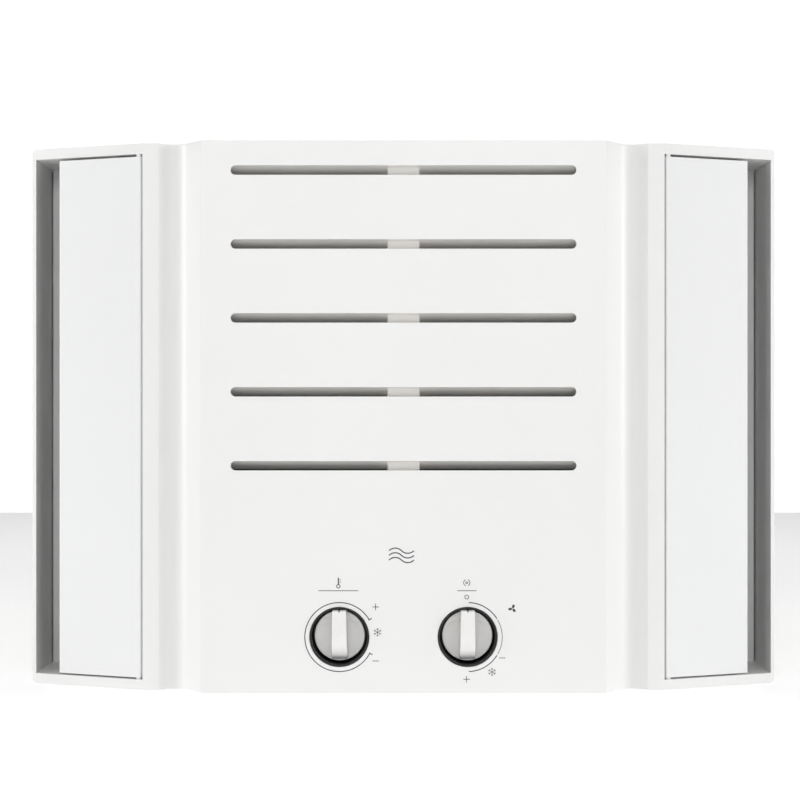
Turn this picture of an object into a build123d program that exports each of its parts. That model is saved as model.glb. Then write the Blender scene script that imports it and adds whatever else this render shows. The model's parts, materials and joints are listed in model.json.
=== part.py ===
from build123d import *
import math
import os

# Window air conditioner. X to the right, Y from front to back, Z up, millimetres.
# The origin is the middle of the underside. A depth is measured from the face of the front panel.

# ---- overall sizes ----
width = 560.0            # fascia, side to side
height = 402.0           # fascia, bottom to top
depth = 500.0            # panel face to the back of the case
fascia_depth = 95.0      # panel face to the front edge of the case
face_y = -250.0          # Y of the panel face

# ---- fascia ----
wall = 3.0               # moulded wall of the panel and of the frame
panel_half = 147.5       # half of the flat, proud panel
panel_depth = 22.0       # panel moulding, front to back
cove_width = 32.5        # hollow groove beside the panel
cove_line = 11.0         # width of the sloping start of the groove
cove_line_depth = 12.0   # depth at the end of that slope
cove_bottom = 17.0       # deepest line of the groove
jamb_depth = 12.0        # flat strip between groove and outlet
jamb_width = 12.0
jamb_lip = 2.2           # thickness of the strip's overhanging edge
jamb_overhang = 1.3      # how far that edge stands over the outlet
bow = math.radians(18.36)  # slant of the outlet front in plan
lip_low = 7.4            # bottom lip
lip_high = 7.7           # top lip
edge_round = 2.0         # rounding of the panel's top and bottom edges
corner_round = 3.5       # long outer edges of the frame

# ---- intake slots ----
slot_length = 251.7
slot_height = 6.8
slot_pitch = 53.8
slot_count = 5
top_slot_drop = 21.5     # top of the fascia to the first slot's middle
blade_depth = 14.0       # back edge of the slanted blades
blade_thick = 1.5
post_width = 23.6        # post behind the middle of the slots
post_depth = 5.0         # its front face
rail_back = 24.0         # back face of the grille's uprights

# ---- air filter ----
filter_half = 150.0
filter_front = 25.0
filter_thick = 8.0
filter_bottom = 99.0
filter_drop = 1.0        # its top edge below the top of the fascia
filter_border = 8.0
filter_play = 0.5
filter_tab = 16.0        # taller top border, for the fingers
channel_wall = 3.0

# ---- deflector doors ----
door_thick = 5.0
door_skin = 2.2
door_inner_gap = 1.5
door_outer_gap = 18.7
door_low_gap = 1.3
door_high_gap = 1.8
pin_radius = 1.8
pin_play = 0.05
pin_inset = 2.6          # hinge pin from the door's inner edge
pin_depth = 3.5          # pin inside the lip

# ---- knobs ----
knob_x = 46.7
knob_z = 40.7
well_radius = 21.75
well_play = 0.05
well_wall = 1.5
well_floor = 14.5        # depth of the cup's floor
disc_radius = 18.4
disc_depth = 8.0
disc_thick = 4.0
grip_width = 10.8
grip_proud = 7.0         # grip in front of the panel face
grip_past = 1.2          # pointer end past the disc
spindle_radius = 3.0
spindle_flat = 2.0       # flat of the D, from the middle
spindle_play = 0.05
bushing_radius = 4.75

# ---- case ----
sheet = 1.2
case_drop = 6.0          # case top below the fascia top
flange = 15.0            # turned-in flange at the back
overlap = 15.0           # the frame's side walls reach this far over the case
screw_low = 60.0         # lower screw through that overlap
screw_drop = 62.0        # upper one, below the fascia top
screw_length = 7.0
screw_radius = 2.0
louvre_length = 62.0
louvre_gap = 3.4
louvre_proud = 2.6
louvre_pitch = 18.0
louvre_rows = 13
louvre_columns = 2
mount_hole = 2.6
mount_hole_depths = (230.0, 390.0)
mount_hole_z = 45.0

# ---- chassis ----
pan_floor = 3.2          # underside of the base pan
pan_rim = 26.0           # top of its rim
pan_gap = 5.8            # pan to the case wall
bulkhead_depth = 206.0
axle_z = 200.0
shaft_radius = 6.35
bearing_play = 0.05
blower_radius = 80.0
blower_front = 128.0
blower_length = 62.0
chamber_radius = 108.0
duct_wall = 2.5
duct_front = 98.0
duct_low = 28.0
duct_top_gap = 17.0      # duct to the case top
inlet_radius = 66.0
motor_radius = 46.0
motor_length = 90.0
fan_radius = 148.0
fan_front = 384.0
fan_length = 28.0
shroud_depth = 420.0
shroud_play = 5.0

# ---- coils ----
tube_radius = 4.76
tube_wall = 0.6
tube_pitch = 25.4
fin_thick = 0.8
evaporator_half = 158.0
evaporator_front = 42.0
evaporator_depth = 44.0
evaporator_rows = 11
evaporator_low = 106.0   # lowest tube
condenser_half = 235.0
condenser_front = 440.0
condenser_depth = 44.0
condenser_rows = 14
condenser_low = 38.0
fin_pitch = 12.0

# ---- derived ----
cove_end = panel_half + cove_width
jamb_outer = cove_end + jamb_width
pocket_inner = jamb_outer - jamb_overhang
side_inner = width / 2 - wall
case_half = side_inner
case_inner = case_half - sheet
case_top = height - case_drop
pan_top = pan_floor + sheet
pan_half = case_inner - pan_gap
duct_half = pan_half - 2.0
duct_high = case_top - duct_top_gap
rear_sheet = depth - sheet
screw_depth = fascia_depth + overlap / 2
screw_heights = (screw_low, height - screw_drop)
slot_heights = [height - top_slot_drop - i * slot_pitch for i in range(slot_count)]


def block(x0, x1, d0, d1, z0, z1):
    """Rectangular block between two depths."""
    centre = Pos((x0 + x1) / 2, face_y + (d0 + d1) / 2, (z0 + z1) / 2)
    return centre * Box(x1 - x0, d1 - d0, z1 - z0)


def rod_x(radius, x0, x1, d, z):
    return Pos((x0 + x1) / 2, face_y + d, z) * Rot(0, 90, 0) * Cylinder(radius, x1 - x0)


def rod_y(radius, d0, d1, x, z):
    return Pos(x, face_y + (d0 + d1) / 2, z) * Rot(90, 0, 0) * Cylinder(radius, d1 - d0)


def rod_z(radius, z0, z1, x, d):
    return Pos(x, face_y + d, (z0 + z1) / 2) * Cylinder(radius, z1 - z0)


def plan(points, z0, z1):
    """Prism over an outline of (x, depth) points."""
    outline = Polyline(*[(x, face_y + d) for x, d in points], close=True)
    return Pos(0, 0, z0) * extrude(make_face(outline), z1 - z0)


def turned_y(points, x, z):
    """Ring turned about an axis along Y, from an outline of (radius, depth) points."""
    outline = Polyline(*[(r, d) for r, d in points], close=True)
    ring = revolve(make_face(outline), Axis.Y, 360)
    return Pos(x, face_y, z) * ring


def right_and_left(shape):
    return [shape, mirror(shape, Plane.YZ)]


def bow_depth(x):
    """Depth of the slanted front of the outlet."""
    return jamb_depth + (x - jamb_outer) * math.tan(bow)


def pipe(points, radius, bend):
    """Round pipe along (x, depth, z) points, with bent corners."""
    corners = [(x, face_y + d, z) for x, d, z in points]
    path = FilletPolyline(*corners, radius=bend)
    section = Plane(origin=path @ 0, z_dir=path % 0) * Circle(radius)
    return sweep(section, path=path)


def hexagon_nut(across_flats, bore, x, z, d0, d1):
    nut = extrude(RegularPolygon(across_flats / math.sqrt(3), 6) - Circle(bore), d1 - d0)
    return Pos(x, face_y + d1, z) * Rot(90, 0, 0) * nut


# ---------------------------------------------------------------- fascia

def cove_face(shift):
    """Plan of the panel front with a groove at each side, closed across the back."""
    y = face_y + shift
    back = face_y + panel_depth + (1.0 if shift else 0.0)
    start = (panel_half, y)
    slope_end = (panel_half + cove_line, y + cove_line_depth)
    deepest = (panel_half + 0.66 * cove_width, y + cove_bottom)
    rim = (cove_end, y + jamb_depth)
    right = [Line(start, slope_end), ThreePointArc(slope_end, deepest, rim)]
    left = [mirror(edge, Plane.YZ) for edge in right]
    closing = Polyline(rim, (cove_end, back), (-cove_end, back), (-rim[0], rim[1]))
    flat = Line((-start[0], start[1]), start)
    return make_face([flat] + right + left + closing.edges())


def front_panel():
    outer = extrude(cove_face(0), height)
    rims = outer.edges().filter_by_position(Axis.Y, face_y - 1, face_y + cove_bottom + 1)
    flat_rims = [e for e in rims if e.bounding_box().size.Z < 0.01]
    outer = fillet(flat_rims, edge_round)
    hollow = Pos(0, 0, wall) * extrude(cove_face(wall), height - 2 * wall)
    flanges = [block(s * cove_end - wall / 2 - s * wall / 2, s * cove_end + wall / 2 - s * wall / 2,
                     jamb_depth + wall, panel_depth, wall, height - wall) for s in (-1, 1)]
    panel = outer - hollow + flanges
    for z in slot_heights:
        slot = Pos(0, face_y + wall, z) * Rot(90, 0, 0) * extrude(SlotOverall(slot_length, slot_height), 2 * wall)
        panel -= slot
    for x in (-knob_x, knob_x):
        panel -= rod_y(well_radius + well_play, -1, wall + 1, x, knob_z)
    return panel


def fascia_frame():
    lip_front = [(cove_end, jamb_depth), (jamb_outer, jamb_depth), (width / 2, bow_depth(width / 2)),
                 (width / 2, fascia_depth), (cove_end, fascia_depth)]
    low = plan(lip_front, 0, lip_low)
    high = plan(lip_front, height - lip_high, height)
    wall_outline = [(side_inner, bow_depth(side_inner)), (width / 2, bow_depth(width / 2)),
                    (width / 2, fascia_depth + overlap), (side_inner, fascia_depth + overlap)]
    side = plan(wall_outline, lip_low, height - lip_high)
    jamb = plan([(cove_end, jamb_depth + 0.6), (cove_end + 4.5, jamb_depth), (jamb_outer, jamb_depth),
                 (jamb_outer, jamb_depth + jamb_lip), (pocket_inner, jamb_depth + jamb_lip),
                 (pocket_inner, fascia_depth), (pocket_inner - wall, fascia_depth),
                 (pocket_inner - wall, jamb_depth + wall), (cove_end, jamb_depth + wall)],
                lip_low, height - lip_high)
    half = low + high + side + jamb
    corners = [e for e in half.edges().filter_by(Axis.Y)
               if abs(e.center().X - width / 2) < 0.01 and (e.center().Z < 0.01 or e.center().Z > height - 0.01)]
    half = fillet(corners, corner_round)
    half -= block(pocket_inner, side_inner, bow_depth(width / 2) + wall, fascia_depth + 1, 2.5, lip_low - 2.5)
    half -= block(pocket_inner, side_inner, bow_depth(width / 2) + wall, fascia_depth + 1,
                  height - lip_high + 2.5, height - 2.5)
    x, d = hinge_pin()
    half -= rod_z(pin_radius + pin_play, lip_low - pin_depth - 0.3, lip_low + 1, x, d)
    half -= rod_z(pin_radius + pin_play, height - lip_high - 1, height - lip_high + pin_depth + 0.3, x, d)
    for z in screw_heights:
        half -= fascia_screw(z, 0.1)
    rail_low = block(-cove_end - 1, cove_end + 1, panel_depth, fascia_depth, 0, wall)
    rail_high = block(-cove_end - 1, cove_end + 1, panel_depth, fascia_depth, height - wall, height)
    gap = filter_play
    filter_slot = block(-filter_half - gap, filter_half + gap, filter_front - gap,
                        filter_front + filter_thick + gap, height - wall - 1, height + 1)
    right, left = right_and_left(half)
    return right + left + rail_low + (rail_high - filter_slot)


def fascia_screw(z, play):
    """Countersunk screw from the right side, through the frame and the case."""
    x = width / 2 - wall
    cone = Pos(x + wall / 2, face_y + screw_depth, z) * Rot(0, 90, 0)
    cone *= Cone(screw_radius + play, screw_radius + 2 + play, wall)
    shank = rod_x(screw_radius + play, x - screw_length - play, x, screw_depth, z)
    return cone + shank


def fascia_screws():
    screws = []
    for z in screw_heights:
        screw = fascia_screw(z, 0)
        screw -= block(width / 2 - 1.2, width / 2 + 1, screw_depth - 2.6, screw_depth + 2.6, z - 0.5, z + 0.5)
        screws += right_and_left(screw)
    return Compound(children=screws)


def intake_grille():
    low = filter_bottom - wall
    high = height - wall - 0.2
    outer = filter_half + filter_play + channel_wall
    back = filter_front + filter_thick + filter_play
    blade_rise = slot_height / 2 + 0.6
    blade_half = panel_half - 2
    post = block(-post_width / 2, post_width / 2, post_depth, blade_depth + 2, low, high)
    grille = post
    for z in slot_heights:
        z0, z1 = z + blade_rise, z - slot_height / 2 + 0.3
        points = [(face_y + wall, z0), (face_y + wall, z0 + blade_thick),
                  (face_y + blade_depth, z1 + blade_thick), (face_y + blade_depth, z1)]
        blade_plane = Plane(origin=(-blade_half, 0, 0), x_dir=(0, 1, 0), z_dir=(1, 0, 0))
        grille += extrude(blade_plane * make_face(Polyline(*points, close=True)), 2 * blade_half)
    for s in (-1, 1):
        xs = sorted((s * (outer - 17), s * (panel_half - 1)))
        grille += block(*xs, wall, rail_back, low, high)
        xs = sorted((s * (outer - 17), s * outer))
        grille += block(*xs, cove_bottom + wall + 0.2, rail_back, low, high)
        xs = sorted((s * (outer - channel_wall), s * outer))
        grille += block(*xs, rail_back, back + 1.5, low, high)
        xs = sorted((s * (outer - 8), s * outer))
        grille += block(*xs, back, back + 1.5, low, high)
    for z0, z1 in ((low, low + wall - 0.3), (low + 90, low + 94)):
        grille += block(-blade_half, blade_half, post_depth + 3, rail_back, z0, z1)
    grille += block(-outer, outer, rail_back, back + 1.5, low, low + wall - 0.3)
    return grille


def knob_cups():
    cup = turned_y([(well_radius, 0), (well_radius, well_floor + well_wall), (9.5, well_floor + well_wall),
                    (9.5, well_floor), (well_radius - well_wall, well_floor), (well_radius - well_wall, 0)], 0, knob_z)
    return Compound(children=[Pos(-knob_x, 0, 0) * cup, Pos(knob_x, 0, 0) * cup])


def outlet_guard():
    """Finger guard at the back of the right outlet."""
    d0, d1 = fascia_depth - 5, fascia_depth
    x0, x1 = pocket_inner, case_inner - 0.3
    z0, z1 = lip_low, height - lip_high
    border = 5.0
    guard = block(x0, x1, d0, d1, z0, z1) - block(x0 + border, x1 - border, d0 - 1, d1 + 1, z0 + border, z1 - border)
    count = 14
    pitch = (z1 - z0) / (count + 1)
    for i in range(count):
        z = z0 + (i + 1) * pitch
        guard += block(x0 + border, x1 - border, d0, d1, z - 1, z + 1)
    middle = (x0 + x1) / 2
    guard += block(middle - 1, middle + 1, d0, d1, z0 + border, z1 - border)
    return guard


# ---------------------------------------------------------------- deflector doors

def door_point(along, behind):
    """Plan place at a distance along the closed door and behind its front face."""
    x0 = jamb_outer + door_inner_gap
    d0 = bow_depth(x0)
    return (x0 + along * math.cos(bow) - behind * math.sin(bow),
            d0 + along * math.sin(bow) + behind * math.cos(bow))


def hinge_pin():
    return door_point(pin_inset, door_thick / 2)


def deflector():
    """Right deflector door with its two hinge pins."""
    span = (side_inner - door_outer_gap - jamb_outer - door_inner_gap) / math.cos(bow)
    z0, z1 = lip_low + door_low_gap, height - lip_high - door_high_gap
    outline = [door_point(a, b) for a, b in ((0, 0), (span, 0), (span, door_thick), (0, door_thick))]
    door = plan(outline, z0, z1)
    door = fillet(door.edges().filter_by(Axis.Z), 1.0)
    door = fillet(door.faces().filter_by(Axis.Z).edges(), 0.6)
    bays = 4
    rib = 2.0
    border = 6.0
    bay = (z1 - z0 - 2 * border - (bays - 1) * rib) / bays
    for i in range(bays):
        low = z0 + border + i * (bay + rib)
        pocket = [door_point(a, b) for a, b in ((border, door_skin), (span - border, door_skin),
                                                (span - border, door_thick + 1), (border, door_thick + 1))]
        door -= plan(pocket, low, low + bay)
    x, d = hinge_pin()
    door += rod_z(pin_radius, lip_low - pin_depth, z0 + 1, x, d)
    door += rod_z(pin_radius, z1 - 1, height - lip_high + pin_depth, x, d)
    return door


# ---------------------------------------------------------------- controls

def d_section(radius, flat, d0, d1, x):
    """Rod along Y with a flat on its upper side."""
    rod = rod_y(radius, d0, d1, x, knob_z)
    return rod - block(x - radius - 1, x + radius + 1, d0 - 1, d1 + 1, knob_z + flat, knob_z + radius + 1)


spindle_tip = 3.0
hub_end = disc_depth + disc_thick + 1.4
plate_front = 18.0       # front plate of the control box
plate_thick = 1.0


def knob(x):
    rim = 1.2
    body = rod_y(disc_radius, disc_depth, disc_depth + disc_thick, x, knob_z)
    scoop_radius = 42.0
    scoop = Pos(x, face_y + disc_depth + 2.0 - scoop_radius, knob_z) * Sphere(scoop_radius)
    body -= scoop & rod_y(disc_radius - rim, disc_depth - 3, disc_depth + disc_thick, x, knob_z)
    body += rod_y(7.0, disc_depth + 2.5, hub_end, x, knob_z)
    top = knob_z + disc_radius + grip_past
    foot = knob_z - disc_radius + rim
    front = face_y - grip_proud
    base = face_y + disc_depth + 3.4
    profile = make_face([
        Line((base, top), (front, top)),
        Line((front, top), (front, knob_z + 4)),
        ThreePointArc((front, knob_z + 4), (front + 3.6, knob_z - 8.5), (face_y + disc_depth + 0.4, foot)),
        Line((face_y + disc_depth + 0.4, foot), (base, foot)),
        Line((base, foot), (base, top)),
    ])
    side_plane = Plane(origin=(x - grip_width / 2, 0, 0), x_dir=(0, 1, 0), z_dir=(1, 0, 0))
    grip = extrude(side_plane * profile, grip_width)
    crown = [e for e in grip.edges() if e.center().Y < face_y + disc_depth - 1 and abs(e.center().X - x) > 1]
    grip = fillet(crown, 1.0)
    notch = block(x - 0.7, x + 0.7, -grip_proud - 1, disc_depth + 1, top - 0.9, top + 1)
    body = body + (grip - notch)
    return body - d_section(spindle_radius + spindle_play, spindle_flat + spindle_play,
                            spindle_tip - 0.3, hub_end + 1, x)


def spindle(x):
    tail = 30.0
    return d_section(spindle_radius, spindle_flat, spindle_tip, hub_end, x) + rod_y(
        spindle_radius, hub_end, tail, x, knob_z)


def control_body(x, half_x, half_z, length):
    """Thermostat or switch: a housing behind the plate with a threaded bushing through it."""
    back = plate_front + plate_thick
    body = block(x - half_x, x + half_x, back, back + length, knob_z - half_z, knob_z + half_z)
    body = fillet(body.edges().filter_by(Axis.Y), 2.0)
    body += rod_y(bushing_radius, hub_end + 0.5, back + 1, x, knob_z)
    return body - rod_y(spindle_radius + spindle_play, hub_end, 30.3, x, knob_z)


def blades_row(x, count, pitch, d0, z):
    """Push-on terminals behind a control."""
    first = x - (count - 1) * pitch / 2
    return [block(first + i * pitch - 0.4, first + i * pitch + 0.4, d0, d0 + 8, z - 3.1, z + 3.1)
            for i in range(count)]


def thermostat():
    body = control_body(-knob_x, 17, 20, 30)
    for tag in blades_row(-knob_x, 2, 16, plate_front + plate_thick + 30, knob_z):
        body += tag
    return body


def mode_switch():
    body = control_body(knob_x, 18, 18, 26)
    for tag in blades_row(knob_x, 4, 8, plate_front + plate_thick + 26, knob_z):
        body += tag
    return body


def control_nuts():
    return Compound(children=[hexagon_nut(12, bushing_radius, x, knob_z, plate_front - 2.6, plate_front)
                              for x in (-knob_x, knob_x)])


box_half = 115.0
box_back = 90.0
box_top = 86.0


def control_box():
    t = plate_thick
    box = block(-box_half, box_half, plate_front, box_back, pan_top, box_top)
    box -= block(-box_half + t, box_half - t, plate_front + t, box_back + 1, pan_top + t, box_top - t)
    for x in (-knob_x, knob_x):
        box -= rod_y(bushing_radius + 0.1, plate_front - 1, plate_front + t + 1, x, knob_z)
    return box - rod_z(4, box_top - 2, box_top + 1, -knob_x, bulb_depth)


bulb_radius = 3.0
bulb_depth = evaporator_front - bulb_radius - 0.3


def thermostat_bulb():
    """Sensing bulb at the coil's face and its capillary down to the thermostat."""
    bulb = rod_z(bulb_radius, 180, 250, -knob_x, bulb_depth)
    return bulb + rod_z(1.0, knob_z + 20, 181, -knob_x, bulb_depth)


def run_capacitor():
    x, d = 88.0, 58.0
    floor = pan_top + plate_thick
    can = rod_z(20, floor, floor + 62, x, d)
    can = fillet(can.edges().filter_by(GeomType.CIRCLE), 1.5)
    for dx in (-6, 6):
        can += block(x + dx - 3.1, x + dx + 3.1, d - 0.4, d + 0.4, floor + 61, floor + 70)
    return can


def terminal_block():
    floor = pan_top + plate_thick
    base = block(-30, 30, 62, 84, floor, floor + 14)
    for i in range(4):
        x = -22.5 + 15 * i
        base -= block(x - 5, x + 5, 61, 85, floor + 5, floor + 15)
        base += rod_z(3, floor + 4, floor + 9, x, 73)
    return base


# ---------------------------------------------------------------- case

def louvre_set():
    """Slot cutters and hoods of the right side, in rows down and columns along."""
    cutters, hoods = [], []
    first_z = case_top - 62
    first_d = depth - 62 - louvre_columns * (louvre_length + 12)
    for column in range(louvre_columns):
        for row in range(louvre_rows):
            d0 = first_d + column * (louvre_length + 12)
            z = first_z - row * louvre_pitch
            cutters.append(block(case_inner - 1, case_half + 0.05, d0, d0 + louvre_length, z - louvre_gap, z))
            outline = [(case_half, z + 3.2), (case_half + louvre_proud, z - louvre_gap + 0.6),
                       (case_half + louvre_proud, z - louvre_gap - 0.4), (case_half, z + 1.6)]
            plane = Plane(origin=(0, face_y + d0, 0), x_dir=(1, 0, 0), z_dir=(0, -1, 0))
            face = plane * make_face(Polyline(*outline, close=True))
            hoods.append(extrude(face, -louvre_length))
    return cutters, hoods


def outer_case():
    shell = block(-case_half, case_half, fascia_depth, depth, 0, case_top)
    shell = fillet(shell.edges().filter_by(Axis.Y).sort_by(Axis.Z)[-2:], 4.0)
    shell -= block(-case_inner, case_inner, fascia_depth - 1, rear_sheet, sheet, case_top - sheet)
    shell -= block(-case_half + flange, case_half - flange, rear_sheet - 1, depth + 1, flange, case_top - flange)
    for z in screw_heights:
        shell -= rod_x(screw_radius + 0.05, -case_half - 1, case_half + 1, screw_depth, z)
    cutters, hoods = louvre_set()
    both_cutters = cutters + [mirror(c, Plane.YZ) for c in cutters]
    both_hoods = hoods + [mirror(h, Plane.YZ) for h in hoods]
    shell = shell - both_cutters + both_hoods
    for d in mount_hole_depths:
        shell -= rod_x(mount_hole, -case_half - 1, case_half + 1, d, mount_hole_z)
    shell -= rod_x(gland_radius + 0.1, case_inner - 1, case_half + 1, gland_depth, gland_z)
    shell -= rod_y(spout_shoulder + 0.4, rear_sheet - 1, depth + 1, spout_x, spout_z)
    for x, z in guard_screw_places():
        shell -= rod_y(screw_radius + 0.1, rear_sheet - 1, depth + 1, x, z)
    return shell


gland_radius = 8.0
gland_bore = 4.0
gland_depth = 250.0
gland_z = 70.0


def cord_gland():
    ends = (case_inner - 2.5, case_half + 2.5)
    gland = rod_x(gland_radius, *ends, gland_depth, gland_z)
    gland += rod_x(gland_radius + 2.5, ends[0], case_inner, gland_depth, gland_z)
    gland += rod_x(gland_radius + 2.5, case_half, ends[1], gland_depth, gland_z)
    return gland - rod_x(gland_bore, ends[0] - 1, ends[1] + 1, gland_depth, gland_z)


guard_thick = 3.0
guard_border = 16.0


def guard_screw_places():
    x = case_half - flange + 5
    return [(s * x, z) for s in (-1, 1) for z in (screw_low, case_top - screw_low)]


def rear_guard():
    back = rear_sheet
    front = back - guard_thick
    x1, z0, z1 = case_inner - 3, sheet + 3, case_top - sheet - 3
    guard = block(-x1, x1, front, back, z0, z1)
    guard -= block(-x1 + guard_border, x1 - guard_border, front - 1, back + 1, z0 + guard_border, z1 - guard_border)
    bar = 2.0
    count = 32
    pitch = 2 * (x1 - guard_border) / (count + 1)
    for i in range(count):
        x = -x1 + guard_border + (i + 1) * pitch
        guard += block(x - bar / 2, x + bar / 2, front, back, z0 + guard_border - 1, z1 - guard_border + 1)
    for i in range(1, 4):
        z = z0 + i * (z1 - z0) / 4
        guard += block(-x1 + 1, x1 - 1, front, back, z - 1.5, z + 1.5)
    for x, z in guard_screw_places():
        guard -= rod_y(screw_radius + 0.05, front - 1, back + 1, x, z)
    return guard - rod_y(spout_shoulder + 0.4, front - 1, back + 1, spout_x, spout_z)


def guard_screws():
    screws = []
    for x, z in guard_screw_places():
        head = rod_y(3.8, depth, depth + 2, x, z)
        head -= block(x - 0.5, x + 0.5, depth + 1, depth + 3, z - 2.6, z + 2.6)
        head -= block(x - 2.6, x + 2.6, depth + 1, depth + 3, z - 0.5, z + 0.5)
        screws.append(head + rod_y(screw_radius, depth - 8, depth + 0.5, x, z))
    return Compound(children=screws)


def foam_seals():
    """Foam between the outlet guards and the mouths of the air duct."""
    x0, x1 = pocket_inner, case_inner - 1
    z0, z1 = pan_rim, duct_high + 4
    inner = duct_mouth()
    ring = block(x0, x1, fascia_depth, duct_front, z0, z1) - block(*inner[:2], fascia_depth - 1,
                                                                 duct_front + 1, *inner[2:])
    return Compound(children=right_and_left(ring))


# ---------------------------------------------------------------- chassis

spout_x = 200.0
spout_z = 14.0
spout_radius = 8.0
spout_shoulder = 9.0
spout_bore = 5.5
pan_back = depth - 8.0
tongue_half = cove_end - wall - 2


def base_pan():
    t = sheet
    pan = block(-pan_half, pan_half, fascia_depth + 2, pan_back, pan_floor, pan_rim)
    pan -= block(-pan_half + t, pan_half - t, fascia_depth + 2 + t, pan_back - t, pan_floor + t, pan_rim + 1)
    front_cut = block(-tongue_half, tongue_half, fascia_depth, fascia_depth + 2 + t + 1, pan_top, pan_rim + 1)
    pan -= front_cut
    pan += block(-tongue_half, tongue_half, cove_bottom + wall + 1, fascia_depth + 3, pan_floor, pan_top)
    for x in (-200, 0, 200):
        pan += block(x - 12, x + 12, fascia_depth + 20, pan_back - 10, sheet, pan_floor)
    return pan - rod_y(spout_bore, pan_back - t - 1, pan_back + 1, spout_x, spout_z)


def drain_spout():
    spout = rod_y(spout_shoulder + 1.5, pan_back, pan_back + 2, spout_x, spout_z)
    spout += rod_y(spout_shoulder, pan_back, depth + 2.5, spout_x, spout_z)
    spout += rod_y(spout_radius, depth + 2, depth + 17.5, spout_x, spout_z)
    return spout - rod_y(spout_bore, pan_back - 1, depth + 18, spout_x, spout_z)


def bulkhead():
    wall_sheet = block(-pan_half + sheet + 0.2, pan_half - sheet - 0.2, bulkhead_depth, bulkhead_depth + sheet,
                       pan_top, case_top - sheet - 1)
    wall_sheet -= rod_y(shaft_radius + 6, bulkhead_depth - 1, bulkhead_depth + 3, 0, axle_z)
    wall_sheet -= rod_y(suction_radius + 1, bulkhead_depth - 1, bulkhead_depth + 3, suction_x, suction_z)
    wall_sheet -= rod_y(capillary_radius + 0.5, bulkhead_depth - 1, bulkhead_depth + 3, capillary_x, capillary_z)
    for x, z in motor_bolt_places():
        wall_sheet -= rod_y(2.6, bulkhead_depth - 1, bulkhead_depth + 3, x, z)
    return wall_sheet


def duct_mouth():
    """x and z limits of the right duct's inside."""
    x0 = jamb_outer + 5.5
    return (x0, duct_half - duct_wall, duct_low + duct_wall, duct_high - duct_wall)


def air_duct():
    """Fan chamber with a duct to each outlet, a thin-walled moulding."""
    w = duct_wall
    back = bulkhead_depth
    x0, x1, z0, z1 = duct_mouth()
    chamber_front = duct_front + 6
    link = 70.0
    outer = rod_y(chamber_radius, chamber_front, back, 0, axle_z)
    outer += block(-x0, x0, chamber_front, back, axle_z - link, axle_z + link)
    inner = rod_y(chamber_radius - w, chamber_front + w, back - w, 0, axle_z)
    inner += block(-x0 - 1, x0 + 1, chamber_front + w, back - w, axle_z - link + w, axle_z + link - w)
    for s in (-1, 1):
        xs = sorted((s * (x0 - w), s * (x1 + w)))
        outer += block(*xs, duct_front, back, z0 - w, z1 + w)
        xs = sorted((s * x0, s * x1))
        inner += block(*xs, duct_front - 1, back - w, z0, z1)
    duct = outer - inner
    duct -= rod_y(inlet_radius + 10.2, chamber_front - 1, chamber_front + w + 1, 0, axle_z)
    duct -= rod_y(shaft_radius + 6, back - w - 1, back + 1, 0, axle_z)
    for x, z in motor_bolt_places():
        duct -= rod_y(6, back - w - 1, back + 1, x, z)
    return duct


def inlet_ring():
    """Bell mouth that leads the air into the blower."""
    r, d = inlet_radius, duct_front + 6
    return turned_y([(r + 18, d - 2), (r + 18, d), (r + 10, d), (r + 10, d + 2), (r + 4, d + 8), (r + 2, d + 17),
                     (r, d + 17), (r + 2, d + 7), (r + 8, d - 2)], 0, axle_z)


def motor_bolt_places():
    r = motor_radius + 9
    return [(r * math.cos(math.radians(a)), axle_z + r * math.sin(math.radians(a))) for a in (45, 135, 225, 315)]


def motor_shell():
    d0 = bulkhead_depth + sheet + 5
    d1 = d0 + motor_length - 10
    return turned_y([(motor_radius, d0), (motor_radius, d1), (motor_radius - 2, d1), (motor_radius - 2, d0)],
                    0, axle_z)


def motor_end_shields():
    d0 = bulkhead_depth + sheet
    d1 = d0 + motor_length - 5
    bore = shaft_radius + bearing_play
    front = turned_y([(bore, d0), (motor_radius, d0), (motor_radius, d0 + 5), (motor_radius - 2.1, d0 + 5),
                      (motor_radius - 2.1, d0 + 8), (16, d0 + 8), (13, d0 + 14), (bore, d0 + 14)], 0, axle_z)
    back = turned_y([(bore, d1 + 6), (16, d1 + 6), (motor_radius, d1 + 2), (motor_radius, d1),
                     (motor_radius - 2.1, d1), (motor_radius - 2.1, d1 - 5), (16, d1 - 3),
                     (bore, d1 - 3)], 0, axle_z)
    for x, z in motor_bolt_places():
        front += rod_y(10, d0, d0 + 5, x, z)
    for x, z in motor_bolt_places():
        front -= rod_y(2.6, d0 - 1, d0 + 6, x, z)
    return Compound(children=[front, back])


def motor_bolts():
    bolts = []
    d0 = bulkhead_depth
    for x, z in motor_bolt_places():
        bolt = rod_y(2.5, d0 - 0.5, d0 + 13, x, z) + rod_y(4.5, d0 - 3, d0, x, z)
        bolt += hexagon_nut(8, 2.4, x, z, d0 + sheet + 5, d0 + sheet + 9)
        bolts.append(bolt)
    return Compound(children=bolts)


rotor_core = 25.0


def motor_stator():
    """Laminated core with its two end windings."""
    d0 = bulkhead_depth + sheet + 22
    d1 = d0 + 46
    core = turned_y([(rotor_core + 0.6, d0), (motor_radius - 2, d0), (motor_radius - 2, d1),
                     (rotor_core + 0.6, d1)], 0, axle_z)
    windings = [turned_y([(rotor_core + 4, a), (motor_radius - 5, a), (motor_radius - 5, b), (rotor_core + 4, b)],
                         0, axle_z) for a, b in ((d0 - 9, d0), (d1, d1 + 9))]
    return Compound(children=[core] + windings)


def motor_rotor():
    d0 = bulkhead_depth + sheet + 23
    return turned_y([(shaft_radius, d0), (rotor_core, d0), (rotor_core, d0 + 44), (shaft_radius, d0 + 44)], 0, axle_z)


def motor_shaft():
    return rod_y(shaft_radius, blower_front + 20, fan_front + fan_length + 6, 0, axle_z)


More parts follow.
